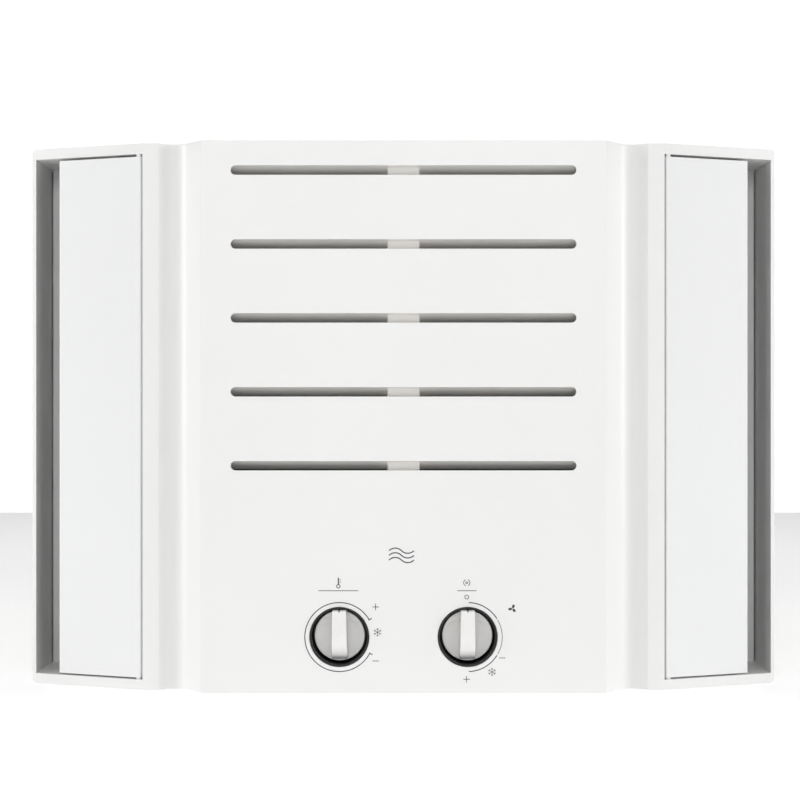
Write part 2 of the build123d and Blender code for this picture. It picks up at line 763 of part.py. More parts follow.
def motor_bracket():
    """Sheet pedestal under the back of the motor."""
    d0 = bulkhead_depth + sheet + motor_length - 34
    d1 = d0 + 22
    half = 34.0
    foot = block(-half - 12, half + 12, d0, d1, pan_top, pan_top + 1.6)
    legs = block(-half, half, d0, d1, pan_top, axle_z - 20)
    legs -= block(-half + 1.6, half - 1.6, d0 - 1, d1 + 1, pan_top + 1.6, axle_z)
    seat = motor_radius + 0.1
    saddle = turned_y([(seat, d0), (seat + 1.6, d0), (seat + 1.6, d1), (seat, d1)], 0, axle_z)
    saddle -= block(-motor_radius - 3, motor_radius + 3, d0 - 1, d1 + 1, axle_z - 20, axle_z + motor_radius + 3)
    legs -= rod_y(seat, d0 - 1, d1 + 1, 0, axle_z)
    return foot + legs + saddle


def blower_wheel():
    """Squirrel-cage wheel with forward-curved blades."""
    d0, d1 = blower_front, blower_front + blower_length
    blades = 30
    wheel = turned_y([(shaft_radius, d1 - 24), (16, d1 - 24), (18, d1 - 3), (blower_radius, d1 - 3),
                      (blower_radius, d1), (shaft_radius, d1)], 0, axle_z)
    wheel += turned_y([(blower_radius - 12, d0), (blower_radius, d0), (blower_radius, d0 + 3),
                       (blower_radius - 12, d0 + 3)], 0, axle_z)
    inner, outer = blower_radius - 13, blower_radius - 0.5
    arc = ThreePointArc((inner, 0), ((inner + outer) / 2, 1.5), (outer, 6))
    arc_back = ThreePointArc((inner + 0.4, -1.2), ((inner + outer) / 2 + 0.5, 0.4), (outer + 0.2, 4.6))
    blade = make_face([arc, arc_back, Line(arc @ 0, arc_back @ 0), Line(arc @ 1, arc_back @ 1)])
    blade = extrude(blade, d1 - d0 - 4)
    placed = [Pos(0, face_y + d1 - 2, axle_z) * Rot(90, 0, 0) * Rot(0, 0, i * 360 / blades) * blade
              for i in range(blades)]
    return wheel + placed


def condenser_fan():
    """Axial fan with a slinger ring."""
    d0 = fan_front
    hub = turned_y([(shaft_radius, d0), (24, d0), (26, d0 + 4), (26, d0 + fan_length), (shaft_radius, d0 + fan_length)],
                   0, axle_z)
    ring = turned_y([(fan_radius - 1, d0 + 6), (fan_radius + 2, d0 + 6), (fan_radius + 2, d0 + 18),
                     (fan_radius - 1, d0 + 18)], 0, axle_z)
    fan = hub + ring
    pitch_angle = 28.0
    chord = 78.0
    blades = 5
    for i in range(blades):
        outline = Polyline((22, -chord * 0.26), (fan_radius, -chord * 0.5), (fan_radius, chord * 0.5),
                           (22, chord * 0.26), close=True)
        blade = extrude(make_face(outline), 1.2, both=True)
        blade = Rot(pitch_angle, 0, 0) * blade
        keep = turned_y([(20, d0), (fan_radius, d0), (fan_radius, d0 + fan_length), (20, d0 + fan_length)], 0, axle_z)
        blade = Pos(0, face_y + d0 + fan_length / 2, axle_z) * Rot(0, i * 360 / blades, 0) * Rot(90, 0, 0) * blade
        fan += blade & keep
    return fan


def fan_shroud():
    r = fan_radius + 2 + shroud_play
    plate = block(-pan_half + 6, pan_half - 6, shroud_depth, shroud_depth + 1.5, pan_top, case_top - 8)
    plate -= rod_y(r, shroud_depth - 1, shroud_depth + 3, 0, axle_z)
    collar = turned_y([(r, fan_front + 8), (r + 1.5, fan_front + 8), (r + 1.5, shroud_depth + 1.5),
                       (r, shroud_depth + 1.5)], 0, axle_z)
    plate -= rod_y(line_radius + 1, shroud_depth - 1, shroud_depth + 3, drier_x, drier_z)
    return plate + collar


# ---------------------------------------------------------------- coils

def coil_columns(front, coil_depth):
    return (front + coil_depth / 4, front + 3 * coil_depth / 4)


def coil_places(front, coil_depth, low, rows):
    """Tube centres (depth, z) in the order the refrigerant runs, up one column and down the other."""
    first, second = coil_columns(front, coil_depth)
    up = [(first, low + i * tube_pitch) for i in range(rows)]
    down = [(second, low + i * tube_pitch) for i in reversed(range(rows))]
    return up + down


def coil_fins(half, front, coil_depth, low, rows):
    z0 = low - tube_pitch / 2
    z1 = low + (rows - 1) * tube_pitch + tube_pitch / 2
    outline = Pos((front + coil_depth / 2), (z0 + z1) / 2) * Rectangle(coil_depth, z1 - z0)
    for d, z in coil_places(front, coil_depth, low, rows):
        outline -= Pos(d, z) * Circle(tube_radius + 0.1)
    plane = Plane(origin=(0, face_y, 0), x_dir=(0, 1, 0), z_dir=(1, 0, 0))
    fin = extrude(plane * outline, fin_thick / 2, both=True)
    gaps = int(2 * (half - 4) / fin_pitch)
    pitch = 2 * (half - 4) / gaps
    return Compound(children=[Pos(-half + 4 + i * pitch, 0, 0) * fin for i in range(gaps + 1)])


def bend(x, start, end, side):
    """Half-ring return bend between two tube ends, bulging towards side (+1 right, -1 left)."""
    mid = ((start[0] + end[0]) / 2, (start[1] + end[1]) / 2)
    axis_dir = Vector(0, -(end[1] - start[1]), end[0] - start[0])
    axis = Axis((x, face_y + mid[0], mid[1]), axis_dir)
    section = Plane(origin=(x, face_y + start[0], start[1]), z_dir=(1, 0, 0)) * (
        Circle(tube_radius) - Circle(tube_radius - tube_wall))
    half_ring = revolve(section, axis, 180)
    if (half_ring.center().X - x) * side < 0:
        half_ring = revolve(section, axis, -180)
    return half_ring


def coil_tubes(half, front, coil_depth, low, rows, stub):
    """Hairpin run: straight tubes, return bends, and open ends at the left."""
    places = coil_places(front, coil_depth, low, rows)
    reach = half + end_plate + 3
    solids = []
    for i, (d, z) in enumerate(places):
        left = reach + (stub if i in (0, len(places) - 1) else 0)
        tube = rod_x(tube_radius, -left, reach, d, z) - rod_x(tube_radius - tube_wall, -left - 1, reach + 1, d, z)
        solids.append(tube)
    for i in range(len(places) - 1):
        side = 1 if i % 2 == 0 else -1
        solids.append(bend(side * reach, places[i], places[i + 1], side))
    return Compound(children=solids)


end_plate = 1.2


def coil_end_plates(half, front, coil_depth, low, rows, d0, top):
    plate = block(half, half + end_plate, d0, front + coil_depth + 2, pan_top, top)
    for d, z in coil_places(front, coil_depth, low, rows):
        plate -= rod_x(tube_radius + 0.1, half - 1, half + end_plate + 1, d, z)
    return Compound(children=right_and_left(plate))


evaporator = (evaporator_half, evaporator_front, evaporator_depth, evaporator_low, evaporator_rows)
condenser = (condenser_half, condenser_front, condenser_depth, condenser_low, condenser_rows)
evaporator_top = evaporator_low + (evaporator_rows - 1) * tube_pitch
condenser_top = condenser_low + (condenser_rows - 1) * tube_pitch
evaporator_stub = 6.0
condenser_stub = 6.0


def drain_tray():
    x = evaporator_half - 0.3
    d0, d1 = evaporator_front - 1.5, evaporator_front + evaporator_depth + 4
    z1 = evaporator_low - tube_pitch / 2 + 3
    tray = block(-x, x, d0, d1, box_top, z1) - block(-x + 2, x - 2, d0 + 2, d1 - 2, box_top + 2, z1 + 1)
    tray -= block(-x - 1, x + 1, d0 + 1, d1 - 1, evaporator_low - tube_pitch / 2 - 0.2, z1 + 1)
    return tray


# ---------------------------------------------------------------- refrigerant circuit

compressor_radius = 52.0
compressor_wall = 3.0
compressor_base = 21.0
compressor_height = 185.0
compressor_x = -(case_half - 77)
compressor_depth = 330.0
foot_circle = 64.0


def compressor_shell():
    r, z0, z1 = compressor_radius, compressor_base, compressor_base + compressor_height
    outer = rod_z(r, z0, z1, compressor_x, compressor_depth)
    outer = fillet(outer.edges().filter_by(GeomType.CIRCLE), 20)
    t = compressor_wall
    inner = rod_z(r - t, z0 + t, z1 - t, compressor_x, compressor_depth)
    inner = fillet(inner.edges().filter_by(GeomType.CIRCLE), 17)
    weld = rod_z(r + 1.2, z1 - 42, z1 - 38, compressor_x, compressor_depth) - rod_z(
        r - 1, z1 - 43, z1 - 37, compressor_x, compressor_depth)
    stub = rod_z(5, z1 - 2, z1 + 8, compressor_x, compressor_depth)
    return outer + weld + stub - inner


def compressor_motor():
    """Motor and pump block inside the sealed shell."""
    z0 = compressor_base + compressor_wall
    pump = rod_z(compressor_radius - compressor_wall, z0 + 28, z0 + 60, compressor_x, compressor_depth)
    stator = rod_z(compressor_radius - compressor_wall, z0 + 78, z0 + 138, compressor_x, compressor_depth)
    crank = rod_z(8, z0 + 14, z0 + 150, compressor_x, compressor_depth)
    return pump + stator + crank


def foot_places():
    return [(compressor_x + foot_circle * math.cos(math.radians(a)),
             compressor_depth + foot_circle * math.sin(math.radians(a))) for a in (90, 210, 330)]


def compressor_feet():
    z0, z1 = compressor_base - 3, compressor_base
    plate = rod_z(40, z0, z1, compressor_x, compressor_depth)
    for x, d in foot_places():
        plate += rod_z(12, z0, z1, x, d)
        angle = math.degrees(math.atan2(d - compressor_depth, x - compressor_x))
        arm = Pos(compressor_x, face_y + compressor_depth, (z0 + z1) / 2) * Rot(0, 0, angle) * Pos(
            foot_circle / 2, 0, 0) * Box(foot_circle, 20, z1 - z0)
        plate += arm
    for x, d in foot_places():
        plate -= rod_z(6.2, z0 - 1, z1 + 1, x, d)
    return plate


def compressor_grommets():
    z0, z1 = pan_top, compressor_base - 3
    solids = []
    for x, d in foot_places():
        grommet = rod_z(10, z0, z1, x, d) + rod_z(6, z1 - 1, compressor_base + 2, x, d)
        solids.append(grommet - rod_z(3.1, z0 - 1, compressor_base + 3, x, d))
    return Compound(children=solids)


def compressor_studs():
    solids = []
    for x, d in foot_places():
        stud = rod_z(3, pan_top, compressor_base + 10, x, d)
        nut = extrude(RegularPolygon(5.8, 6), 5)
        washer = rod_z(9, compressor_base + 2, compressor_base + 3.2, x, d)
        solids.append(stud + washer + Pos(x, face_y + d, compressor_base + 3.2) * nut)
    return Compound(children=solids)


def terminal_cover():
    z0 = compressor_base + 70
    cover = block(compressor_x - 18, compressor_x + 18, compressor_depth - compressor_radius - 16,
                  compressor_depth - compressor_radius + 12, z0, z0 + 48)
    cover = fillet(cover.edges().filter_by(Axis.Y), 5)
    return cover - rod_z(compressor_radius + 0.2, z0 - 1, z0 + 50, compressor_x, compressor_depth)


drier_radius = 9.0
drier_x = -(pan_half - 14)
drier_z = 60.0
line_radius = 3.2
accumulator_radius = 20.0
accumulator_x = compressor_x + compressor_radius + accumulator_radius + 4
accumulator_low = 70.0
accumulator_high = 190.0
suction_radius = 4.76
suction_x = -cove_end
suction_z = case_top - 8.5
capillary_radius = 1.2
capillary_x = -225.0
capillary_z = 15.0


def accumulator():
    """Suction accumulator with its strap and the elbow into the compressor."""
    x, d = accumulator_x, compressor_depth
    can = rod_z(accumulator_radius, accumulator_low, accumulator_high, x, d)
    can = fillet(can.edges().filter_by(GeomType.CIRCLE), 12)
    can += rod_z(6.5, accumulator_high - 2, accumulator_high + 6, x, d)
    elbow = pipe([(x, d, accumulator_low + 2), (x, d, accumulator_low - 20),
                  (compressor_x + compressor_radius - 1, d, accumulator_low - 20)], 4.5, 10)
    strap = block(compressor_x + compressor_radius - 2, x - accumulator_radius + 1, d - 8, d + 8, 120, 132)
    return can + elbow + strap - rod_z(compressor_radius, accumulator_low - 40, accumulator_high, compressor_x, d)


def suction_pipe():
    d0 = coil_columns(evaporator_front, evaporator_depth)[1]
    start = -(evaporator_half + end_plate + 3 + evaporator_stub)
    riser = evaporator_front + evaporator_depth + 7
    low, top = evaporator_low, suction_z
    return pipe([(start, d0, low), (suction_x, d0, low), (suction_x, riser, low), (suction_x, riser, top),
                 (suction_x, compressor_depth, top), (accumulator_x, compressor_depth, top),
                 (accumulator_x, compressor_depth, accumulator_high + 6)], suction_radius, 8)


def discharge_pipe():
    d1 = coil_columns(condenser_front, condenser_depth)[0]
    end = -(condenser_half + end_plate + 3 + condenser_stub)
    side = -(pan_half - 1)
    z0 = compressor_base + compressor_height + 8
    low = condenser_low
    high = z0 + 40
    return pipe([(compressor_x, compressor_depth, z0), (compressor_x, compressor_depth, high),
                 (side, compressor_depth, high), (side, d1, high), (side, d1, low), (end, d1, low)], line_radius, 7)


drier_front = 412.0


def filter_drier():
    """Drier between the condenser and the capillary."""
    d2 = coil_columns(condenser_front, condenser_depth)[1]
    end = -(condenser_half + end_plate + 3 + condenser_stub)
    x, z = drier_x, drier_z
    can = rod_y(drier_radius, drier_front - 60, drier_front, x, z)
    can = fillet(can.edges().filter_by(GeomType.CIRCLE), 4)
    line = pipe([(x, drier_front - 2, z), (x, d2, z), (x, d2, condenser_low), (end, d2, condenser_low)],
                line_radius, 4)
    return can + line


def capillary_tube():
    d0 = coil_columns(evaporator_front, evaporator_depth)[0]
    end = -(evaporator_half + end_plate + 3 + evaporator_stub)
    side = end - 5
    turn = fascia_depth + 12
    drop = bulkhead_depth + 60
    return pipe([(drier_x, drier_front - 60, drier_z), (drier_x, drop, drier_z), (drier_x, drop, capillary_z),
                 (capillary_x, bulkhead_depth + 40, capillary_z), (capillary_x, turn, capillary_z),
                 (side, turn, capillary_z), (side, d0, capillary_z), (side, d0, evaporator_low),
                 (end, d0, evaporator_low)], capillary_radius, 3)


# ---------------------------------------------------------------- air filter

def filter_frame():
    top = height - filter_drop
    d0, d1 = filter_front, filter_front + filter_thick
    b = filter_border
    frame = block(-filter_half, filter_half, d0, d1, filter_bottom, top)
    frame -= block(-filter_half + b, filter_half - b, d0 - 1, d1 + 1, filter_bottom + b, top - filter_tab)
    for i in (1, 2):
        z = filter_bottom + i * (top - filter_bottom) / 3
        frame += block(-filter_half + b - 1, filter_half - b + 1, d0 + 1, d0 + 4, z - 1.5, z + 1.5)
    frame += block(-1.5, 1.5, d0 + 1, d0 + 4, filter_bottom + b - 1, top - filter_tab + 1)
    frame -= block(-22, 22, d0 + 2, d1 + 1, top - filter_tab + 4, top - 4)
    return frame


def filter_mesh():
    top = height - filter_drop
    d = filter_front + 4
    b = filter_border
    return block(-filter_half + b, filter_half - b, d, d + 0.8, filter_bottom + b, top - filter_tab)


right_door = deflector()
right_guard = outlet_guard()

nodes = {
    "front_panel": front_panel(),
    "fascia_frame": fascia_frame(),
    "fascia_screws": fascia_screws(),
    "intake_grille": intake_grille(),
    "knob_cups": knob_cups(),
    "right_outlet_guard": right_guard,
    "left_outlet_guard": mirror(right_guard, Plane.YZ),
    "right_deflector": right_door,
    "left_deflector": mirror(right_door, Plane.YZ),
    "temperature_knob": knob(-knob_x),
    "mode_knob": knob(knob_x),
    "thermostat_spindle": spindle(-knob_x),
    "switch_spindle": spindle(knob_x),
    "thermostat": thermostat(),
    "thermostat_bulb": thermostat_bulb(),
    "mode_switch": mode_switch(),
    "control_nuts": control_nuts(),
    "control_box": control_box(),
    "run_capacitor": run_capacitor(),
    "terminal_block": terminal_block(),
    "filter_frame": filter_frame(),
    "filter_mesh": filter_mesh(),
    "outer_case": outer_case(),
    "rear_guard": rear_guard(),
    "guard_screws": guard_screws(),
    "cord_gland": cord_gland(),
    "foam_seals": foam_seals(),
    "base_pan": base_pan(),
    "drain_spout": drain_spout(),
    "bulkhead": bulkhead(),
    "air_duct": air_duct(),
    "inlet_ring": inlet_ring(),
    "motor_shell": motor_shell(),
    "motor_end_shields": motor_end_shields(),
    "motor_bolts": motor_bolts(),
    "motor_stator": motor_stator(),
    "motor_bracket": motor_bracket(),
    "motor_rotor": motor_rotor(),
    "motor_shaft": motor_shaft(),
    "blower_wheel": blower_wheel(),
    "condenser_fan": condenser_fan(),
    "fan_shroud": fan_shroud(),
    "evaporator_fins": coil_fins(*evaporator),
    "evaporator_tubes": coil_tubes(*evaporator, evaporator_stub),
    "evaporator_end_plates": coil_end_plates(*evaporator, evaporator_front - 1, evaporator_top + 16),
    "drain_tray": drain_tray(),
    "condenser_fins": coil_fins(*condenser),
    "condenser_tubes": coil_tubes(*condenser, condenser_stub),
    "condenser_end_plates": coil_end_plates(*condenser, shroud_depth + 1.5, condenser_top + 16),
    "compressor_shell": compressor_shell(),
    "compressor_motor": compressor_motor(),
    "compressor_feet": compressor_feet(),
    "compressor_grommets": compressor_grommets(),
    "compressor_studs": compressor_studs(),
    "terminal_cover": terminal_cover(),
    "accumulator": accumulator(),
    "suction_pipe": suction_pipe(),
    "discharge_pipe": discharge_pipe(),
    "filter_drier": filter_drier(),
    "capillary_tube": capillary_tube(),
}

os.makedirs("parts", exist_ok=True)
for name, shape in nodes.items():
    export_step(shape, f"parts/{name}.step")
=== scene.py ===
"""Window air conditioner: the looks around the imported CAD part."""
import json
import math

import bmesh
import bpy
from mathutils import Matrix, Vector


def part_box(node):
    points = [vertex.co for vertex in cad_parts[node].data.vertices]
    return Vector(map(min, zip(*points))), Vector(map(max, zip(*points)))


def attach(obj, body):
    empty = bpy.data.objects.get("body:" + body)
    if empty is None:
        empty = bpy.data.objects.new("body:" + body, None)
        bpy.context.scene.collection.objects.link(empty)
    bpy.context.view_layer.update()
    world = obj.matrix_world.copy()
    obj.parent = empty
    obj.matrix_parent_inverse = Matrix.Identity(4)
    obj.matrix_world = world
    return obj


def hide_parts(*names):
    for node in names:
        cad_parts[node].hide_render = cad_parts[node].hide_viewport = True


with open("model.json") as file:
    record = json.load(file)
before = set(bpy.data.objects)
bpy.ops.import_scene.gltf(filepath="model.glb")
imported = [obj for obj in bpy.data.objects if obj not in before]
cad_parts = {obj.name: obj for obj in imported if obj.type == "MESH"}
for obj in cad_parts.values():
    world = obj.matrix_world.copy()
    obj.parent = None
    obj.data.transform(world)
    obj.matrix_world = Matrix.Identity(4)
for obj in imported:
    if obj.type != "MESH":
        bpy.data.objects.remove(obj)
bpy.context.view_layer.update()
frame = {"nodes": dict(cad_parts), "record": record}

# Shapes below are in millimetres: x to the right, a depth behind the panel's face, z up.
MM = 0.001
FACE = -250.0            # Y of the panel's face
WIDTH = 560.0
HEIGHT = 402.0
FASCIA_BACK = 95.0       # depth of the fascia's back edge
BOW = math.radians(18.36)  # slant of the outlets in plan

# ---------------------------------------------------------------- camera

LENS = 68.05             # focal length in millimetres
EYE = (0.0, -1.35, 0.2095)

camera = bpy.data.objects.new("camera", bpy.data.cameras.new("camera"))
camera.data.lens = LENS
camera.data.sensor_width = 36.0
camera.data.shift_x = -0.0044
camera.data.shift_y = 0.00625
camera.location = EYE
camera.rotation_euler = (math.radians(90), 0, 0)
bpy.context.scene.collection.objects.link(camera)
bpy.context.scene.camera = camera
bpy.context.scene.view_settings.view_transform = "Standard"


# ---------------------------------------------------------------- materials

def linear(code):
    """Linear colour of an sRGB hex code."""
    parts = [int(code[i:i + 2], 16) / 255 for i in (0, 2, 4)]
    return [p / 12.92 if p <= 0.04045 else ((p + 0.055) / 1.055) ** 2.4 for p in parts] + [1.0]


def node(tree, kind, inputs=None, **settings):
    """Adds a node with its settings; each input is a value or another node's output."""
    made = tree.nodes.new(kind)
    for name, value in settings.items():
        setattr(made, name, value)
    for socket, value in (inputs or {}).items():
        if isinstance(value, bpy.types.NodeSocket):
            tree.links.new(value, made.inputs[socket])
        else:
            made.inputs[socket].default_value = value
    return made


WAVE = 20.0              # a wave node multiplies its scale by this itself


def pattern(tree, kind, place, size, stretch):
    """Height between 0 and 1 of a surface pattern. Grain and cells have features size millimetres
    across; the bands of plies and weave repeat every 2 pi times size, wide enough to show."""
    if stretch:
        place = node(tree, "ShaderNodeMapping", {"Vector": place, "Scale": stretch}).outputs["Vector"]
    per_metre = 1.0 / (size * MM)
    if kind == "grain":
        return node(tree, "ShaderNodeTexNoise", {"Vector": place, "Scale": per_metre, "Detail": 3.0,
                                                 "Roughness": 0.6}).outputs["Fac"]
    if kind == "cells":
        return node(tree, "ShaderNodeTexVoronoi", {"Vector": place, "Scale": per_metre},
                    feature="SMOOTH_F1").outputs["Distance"]
    bands = {"Vector": place, "Scale": per_metre / WAVE}
    if kind == "plies":
        return node(tree, "ShaderNodeTexWave", {**bands, "Distortion": 0.3},
                    bands_direction="Y").outputs["Fac"]
    across = node(tree, "ShaderNodeTexWave", bands, bands_direction="X")
    up = node(tree, "ShaderNodeTexWave", bands, bands_direction="Z")
    return node(tree, "ShaderNodeMath", {0: across.outputs["Fac"], 1: up.outputs["Fac"]},
                operation="MAXIMUM").outputs["Value"]


def finish(name, tone, shade, patch, rough, kind, size, relief, stretch=None, mark=0.0, **shader):
    """Material whose colour drifts from tone to shade over patches of patch millimetres.
    Its relief is relief millimetres high; mark is how far the relief also darkens the colour."""
    material = bpy.data.materials.new(name)
    material.use_nodes = True
    tree = material.node_tree
    tree.nodes.clear()
    place = node(tree, "ShaderNodeTexCoord").outputs["Object"]
    drift = node(tree, "ShaderNodeTexNoise", {"Vector": place, "Scale": 1.0 / (patch * MM), "Detail": 4.0})
    colour = node(tree, "ShaderNodeMix", {"Factor": drift.outputs["Fac"], 6: linear(tone), 7: linear(shade)},
                  data_type="RGBA").outputs[2]
    height = pattern(tree, kind, place, size, stretch)
    if mark:
        amount = node(tree, "ShaderNodeMapRange", {"Value": height, "From Min": 0.3, "From Max": 0.7,
                                                   "To Min": mark, "To Max": 0.0}).outputs["Result"]
        colour = node(tree, "ShaderNodeMix", {"Factor": amount, 6: colour, 7: [0.0, 0.0, 0.0, 1.0]},
                      data_type="RGBA").outputs[2]
    sheen = node(tree, "ShaderNodeMapRange", {"Value": drift.outputs["Fac"], "From Min": 0.3, "From Max": 0.7,
                                              "To Min": rough[0], "To Max": rough[1]})
    bump = node(tree, "ShaderNodeBump", {"Height": height, "Distance": relief * MM})
    body = node(tree, "ShaderNodeBsdfPrincipled", {"Base Color": colour, "Roughness": sheen.outputs["Result"],
                                                   "Normal": bump.outputs["Normal"], **shader})
    node(tree, "ShaderNodeOutputMaterial", {"Surface": body.outputs["BSDF"]})
    return material


plastic = {"IOR": 1.53}
metal = {"Metallic": 1.0}

# ABS, injection moulded in a spark-eroded tool: bright white with a soft satin and a very fine grain.
white_abs = finish("satin white ABS", "f6f6f5", "f2f2f1", 180, (0.36, 0.44), "grain", 0.45, 0.004,
                   **plastic)
# The same ABS off a smoother tool: the doors show a slightly cleaner reflection.
door_abs = finish("smooth white ABS", "f5f5f5", "f1f2f2", 220, (0.28, 0.35), "grain", 0.6, 0.002, **plastic)
# Grille moulding behind the slots: unpolished tool, dull and a little grey.
grille_abs = finish("matt light grey ABS", "eeebe7", "e8e5e1", 90, (0.55, 0.66), "grain", 0.5, 0.01,
                    **plastic)
# Knobs: ABS off a polished tool, semi-gloss.
knob_abs = finish("semi-gloss white ABS", "f4f3f1", "f0efed", 30, (0.2, 0.27), "grain", 0.4, 0.0015,
                  **plastic)
# Cups around the knobs: black ABS with a fine texture.
black_abs = finish("black textured ABS", "1b1b1c", "161617", 25, (0.38, 0.5), "grain", 0.35, 0.008,
                   **plastic)
# Pad-printed ink: thin, dark grey, a little glossier than the panel.
ink = finish("dark grey printing ink", "3a3a3c", "444446", 6, (0.3, 0.42), "grain", 0.25, 0.001, IOR=1.5)
grey_ink = finish("light grey printing ink", "8d8d90", "98989b", 6, (0.3, 0.42), "grain", 0.25, 0.001,
                  IOR=1.5)
# Phenolic resin, compression moulded: nearly black with a faint brown flow mottle.
phenolic = finish("black phenolic", "1a1817", "232020", 9, (0.3, 0.42), "grain", 0.7, 0.006, IOR=1.6)
# Polystyrene foam moulded from beads about 3 mm across, whose outlines show.
styrene = finish("moulded bead polystyrene", "efefed", "e6e6e3", 60, (0.6, 0.75), "cells", 3.2, 0.12,
                 mark=0.05, IOR=1.5)
# Polypropylene filter frame: waxy mid grey.
polypropylene = finish("grey polypropylene", "57606a", "4d565f", 40, (0.42, 0.52), "grain", 0.8, 0.01,
                       IOR=1.49)
# Nylon monofilament cloth at 1.2 mm spacing, drawn 7.5 mm apart so that its threads show.
nylon = finish("woven nylon mesh", "68727c", "5b646d", 50, (0.5, 0.6), "weave", 1.2, 0.3, mark=0.75,
               IOR=1.53)
# Glass-filled nylon or polypropylene: black with paler fibre streaks near the surface.
fan_nylon = finish("glass-filled black plastic", "232425", "303133", 5, (0.45, 0.6), "grain", 0.5, 0.012,
                   IOR=1.5)
# Closed-cell foam: cut cells about 1 mm across.
foam = finish("grey closed-cell foam", "404145", "35363a", 20, (0.85, 0.95), "cells", 1.0, 0.15,
              mark=0.3, IOR=1.45)
# Polyester powder coat on sheet steel: off-white with an orange peel about 2 mm across.
powder = finish("off-white powder coat", "e9e9e5", "e4e4e0", 120, (0.32, 0.42), "grain", 2.2, 0.012,
                IOR=1.52, **{"Coat Weight": 0.2, "Coat Roughness": 0.25})
# Dipped and baked enamel on the motor and compressor: black, glossy, with slow runs.
enamel = finish("black baked enamel", "121314", "1a1b1c", 35, (0.14, 0.24), "grain", 6.0, 0.03, IOR=1.54)
# Hot-dip zinc on rolled sheet: grey crystals about 9 mm across.
zinc = finish("zinc coated sheet steel", "b3b7ba", "9da2a6", 9, (0.34, 0.55), "cells", 9.0, 0.01,
              mark=0.16, **metal)
# Ground steel: fine rings of the grinding wheel across the shaft.
ground_steel = finish("ground steel", "b9b9b8", "adadac", 25, (0.18, 0.28), "grain", 0.3, 0.003,
                      stretch=(0.05, 1.0, 0.05), **metal)
# Punched core plates 0.5 mm thick, drawn 6.3 mm apart so that the stack's lines show.
laminations = finish("stacked core plates", "6d6e70", "5a5b5d", 12, (0.45, 0.6), "plies", 1.0, 0.1,
                     mark=0.45, **metal)
# Bright zinc plating on screws: pale with a faint blue cast.
plating = finish("bright zinc plating", "c9cccf", "bcc2c8", 4, (0.2, 0.32), "grain", 0.4, 0.004, **metal)
# Drawn copper tube: darkened in patches by brazing and handling.
copper = finish("drawn copper tube", "c98465", "a8654a", 14, (0.22, 0.42), "grain", 0.5, 0.004,
                mark=0.12, **metal)
# Rolled aluminium foil: fine lines along the depth of the coil.
foil = finish("rolled aluminium foil", "d5d8da", "c4c8cb", 18, (0.28, 0.42), "grain", 0.4, 0.006,
              stretch=(1.0, 0.06, 1.0), **metal)
# Drawn or die-cast aluminium: soft grey, slightly frosted.
aluminium = finish("drawn aluminium", "c6c9cb", "b4b7ba", 12, (0.3, 0.45), "grain", 0.8, 0.02, **metal)
# Moulded rubber: black, dull, with a pale bloom in patches.
rubber = finish("black moulded rubber", "19191a", "242425", 10, (0.6, 0.78), "grain", 0.6, 0.015, IOR=1.52)

# The record's slots, each with its material, for the CAD nodes that are shown.
slot_finish = {
    "housing": white_abs, "grille": grille_abs, "knob": knob_abs, "black_plastic": black_abs,
    "phenolic": phenolic, "duct_plastic": styrene, "filter_plastic": polypropylene, "filter_fabric": nylon,
    "fan_plastic": fan_nylon, "foam": foam, "case_paint": powder, "motor_paint": enamel, "zinc_sheet": zinc,
    "bare_steel": ground_steel, "laminations": laminations, "screws": plating, "copper": copper,
    "fin_aluminium": foil, "aluminium_can": aluminium, "rubber_parts": rubber,
}
for part in frame["record"]["subparts"]:
    shown = frame["nodes"][part["node"]]
    shown.data.materials.clear()
    shown.data.materials.append(slot_finish[part["material_slot"]])


# ---------------------------------------------------------------- modelling tools

def picked(geometry, kind):
    return [g for g in geometry if isinstance(g, kind)]


def ease(bm, edges, radius, steps=2):
    """Rounds edges."""
    bmesh.ops.bevel(bm, geom=edges, offset=radius, offset_type="OFFSET", segments=steps, profile=0.5,
                    affect="EDGES", material=-1, clamp_overlap=True, loop_slide=True)


def creases(bm, within=lambda edge: True, least=28.0):
    """Edges whose faces meet at more than least degrees."""
    bmesh.ops.recalc_face_normals(bm, faces=bm.faces[:])
    return [e for e in bm.edges if len(e.link_faces) == 2 and e.calc_face_angle(0.0) > math.radians(least)
            and within(e)]


def brick(bm, x, d, z, radius=0.0, steps=2):
    """Block between pairs of x, depth and height, with rounded edges."""
    made = bmesh.ops.create_cube(bm, size=1.0)["verts"]
    bmesh.ops.scale(bm, vec=(x[1] - x[0], d[1] - d[0], z[1] - z[0]), verts=made)
    bmesh.ops.translate(bm, vec=(sum(x) / 2, FACE + sum(d) / 2, sum(z) / 2), verts=made)
    if radius:
        ease(bm, list(dict.fromkeys(e for v in made for e in v.link_edges)), radius, steps)


def ring(bm, points):
    """Closed line of edges through points."""
    verts = [bm.verts.new(p) for p in points]
    return [bm.edges.new(pair) for pair in zip(verts, verts[1:] + verts[:1])]


def fill(bm, edges):
    """Flat faces between closed lines, the inner ones being windows."""
    return picked(bmesh.ops.triangle_fill(bm, use_beauty=True, edges=edges)["geom"], bmesh.types.BMFace)


def slab(bm, outlines, through):
    """Plate over an outline with windows, as thick as the vector through. Returns its points."""
    edges = [e for outline in outlines for e in ring(bm, outline)]
    grown = bmesh.ops.extrude_face_region(bm, geom=fill(bm, edges))["geom"]
    moved = picked(grown, bmesh.types.BMVert)
    bmesh.ops.translate(bm, vec=through, verts=moved)
    return moved + list(dict.fromkeys(v for e in edges for v in e.verts))


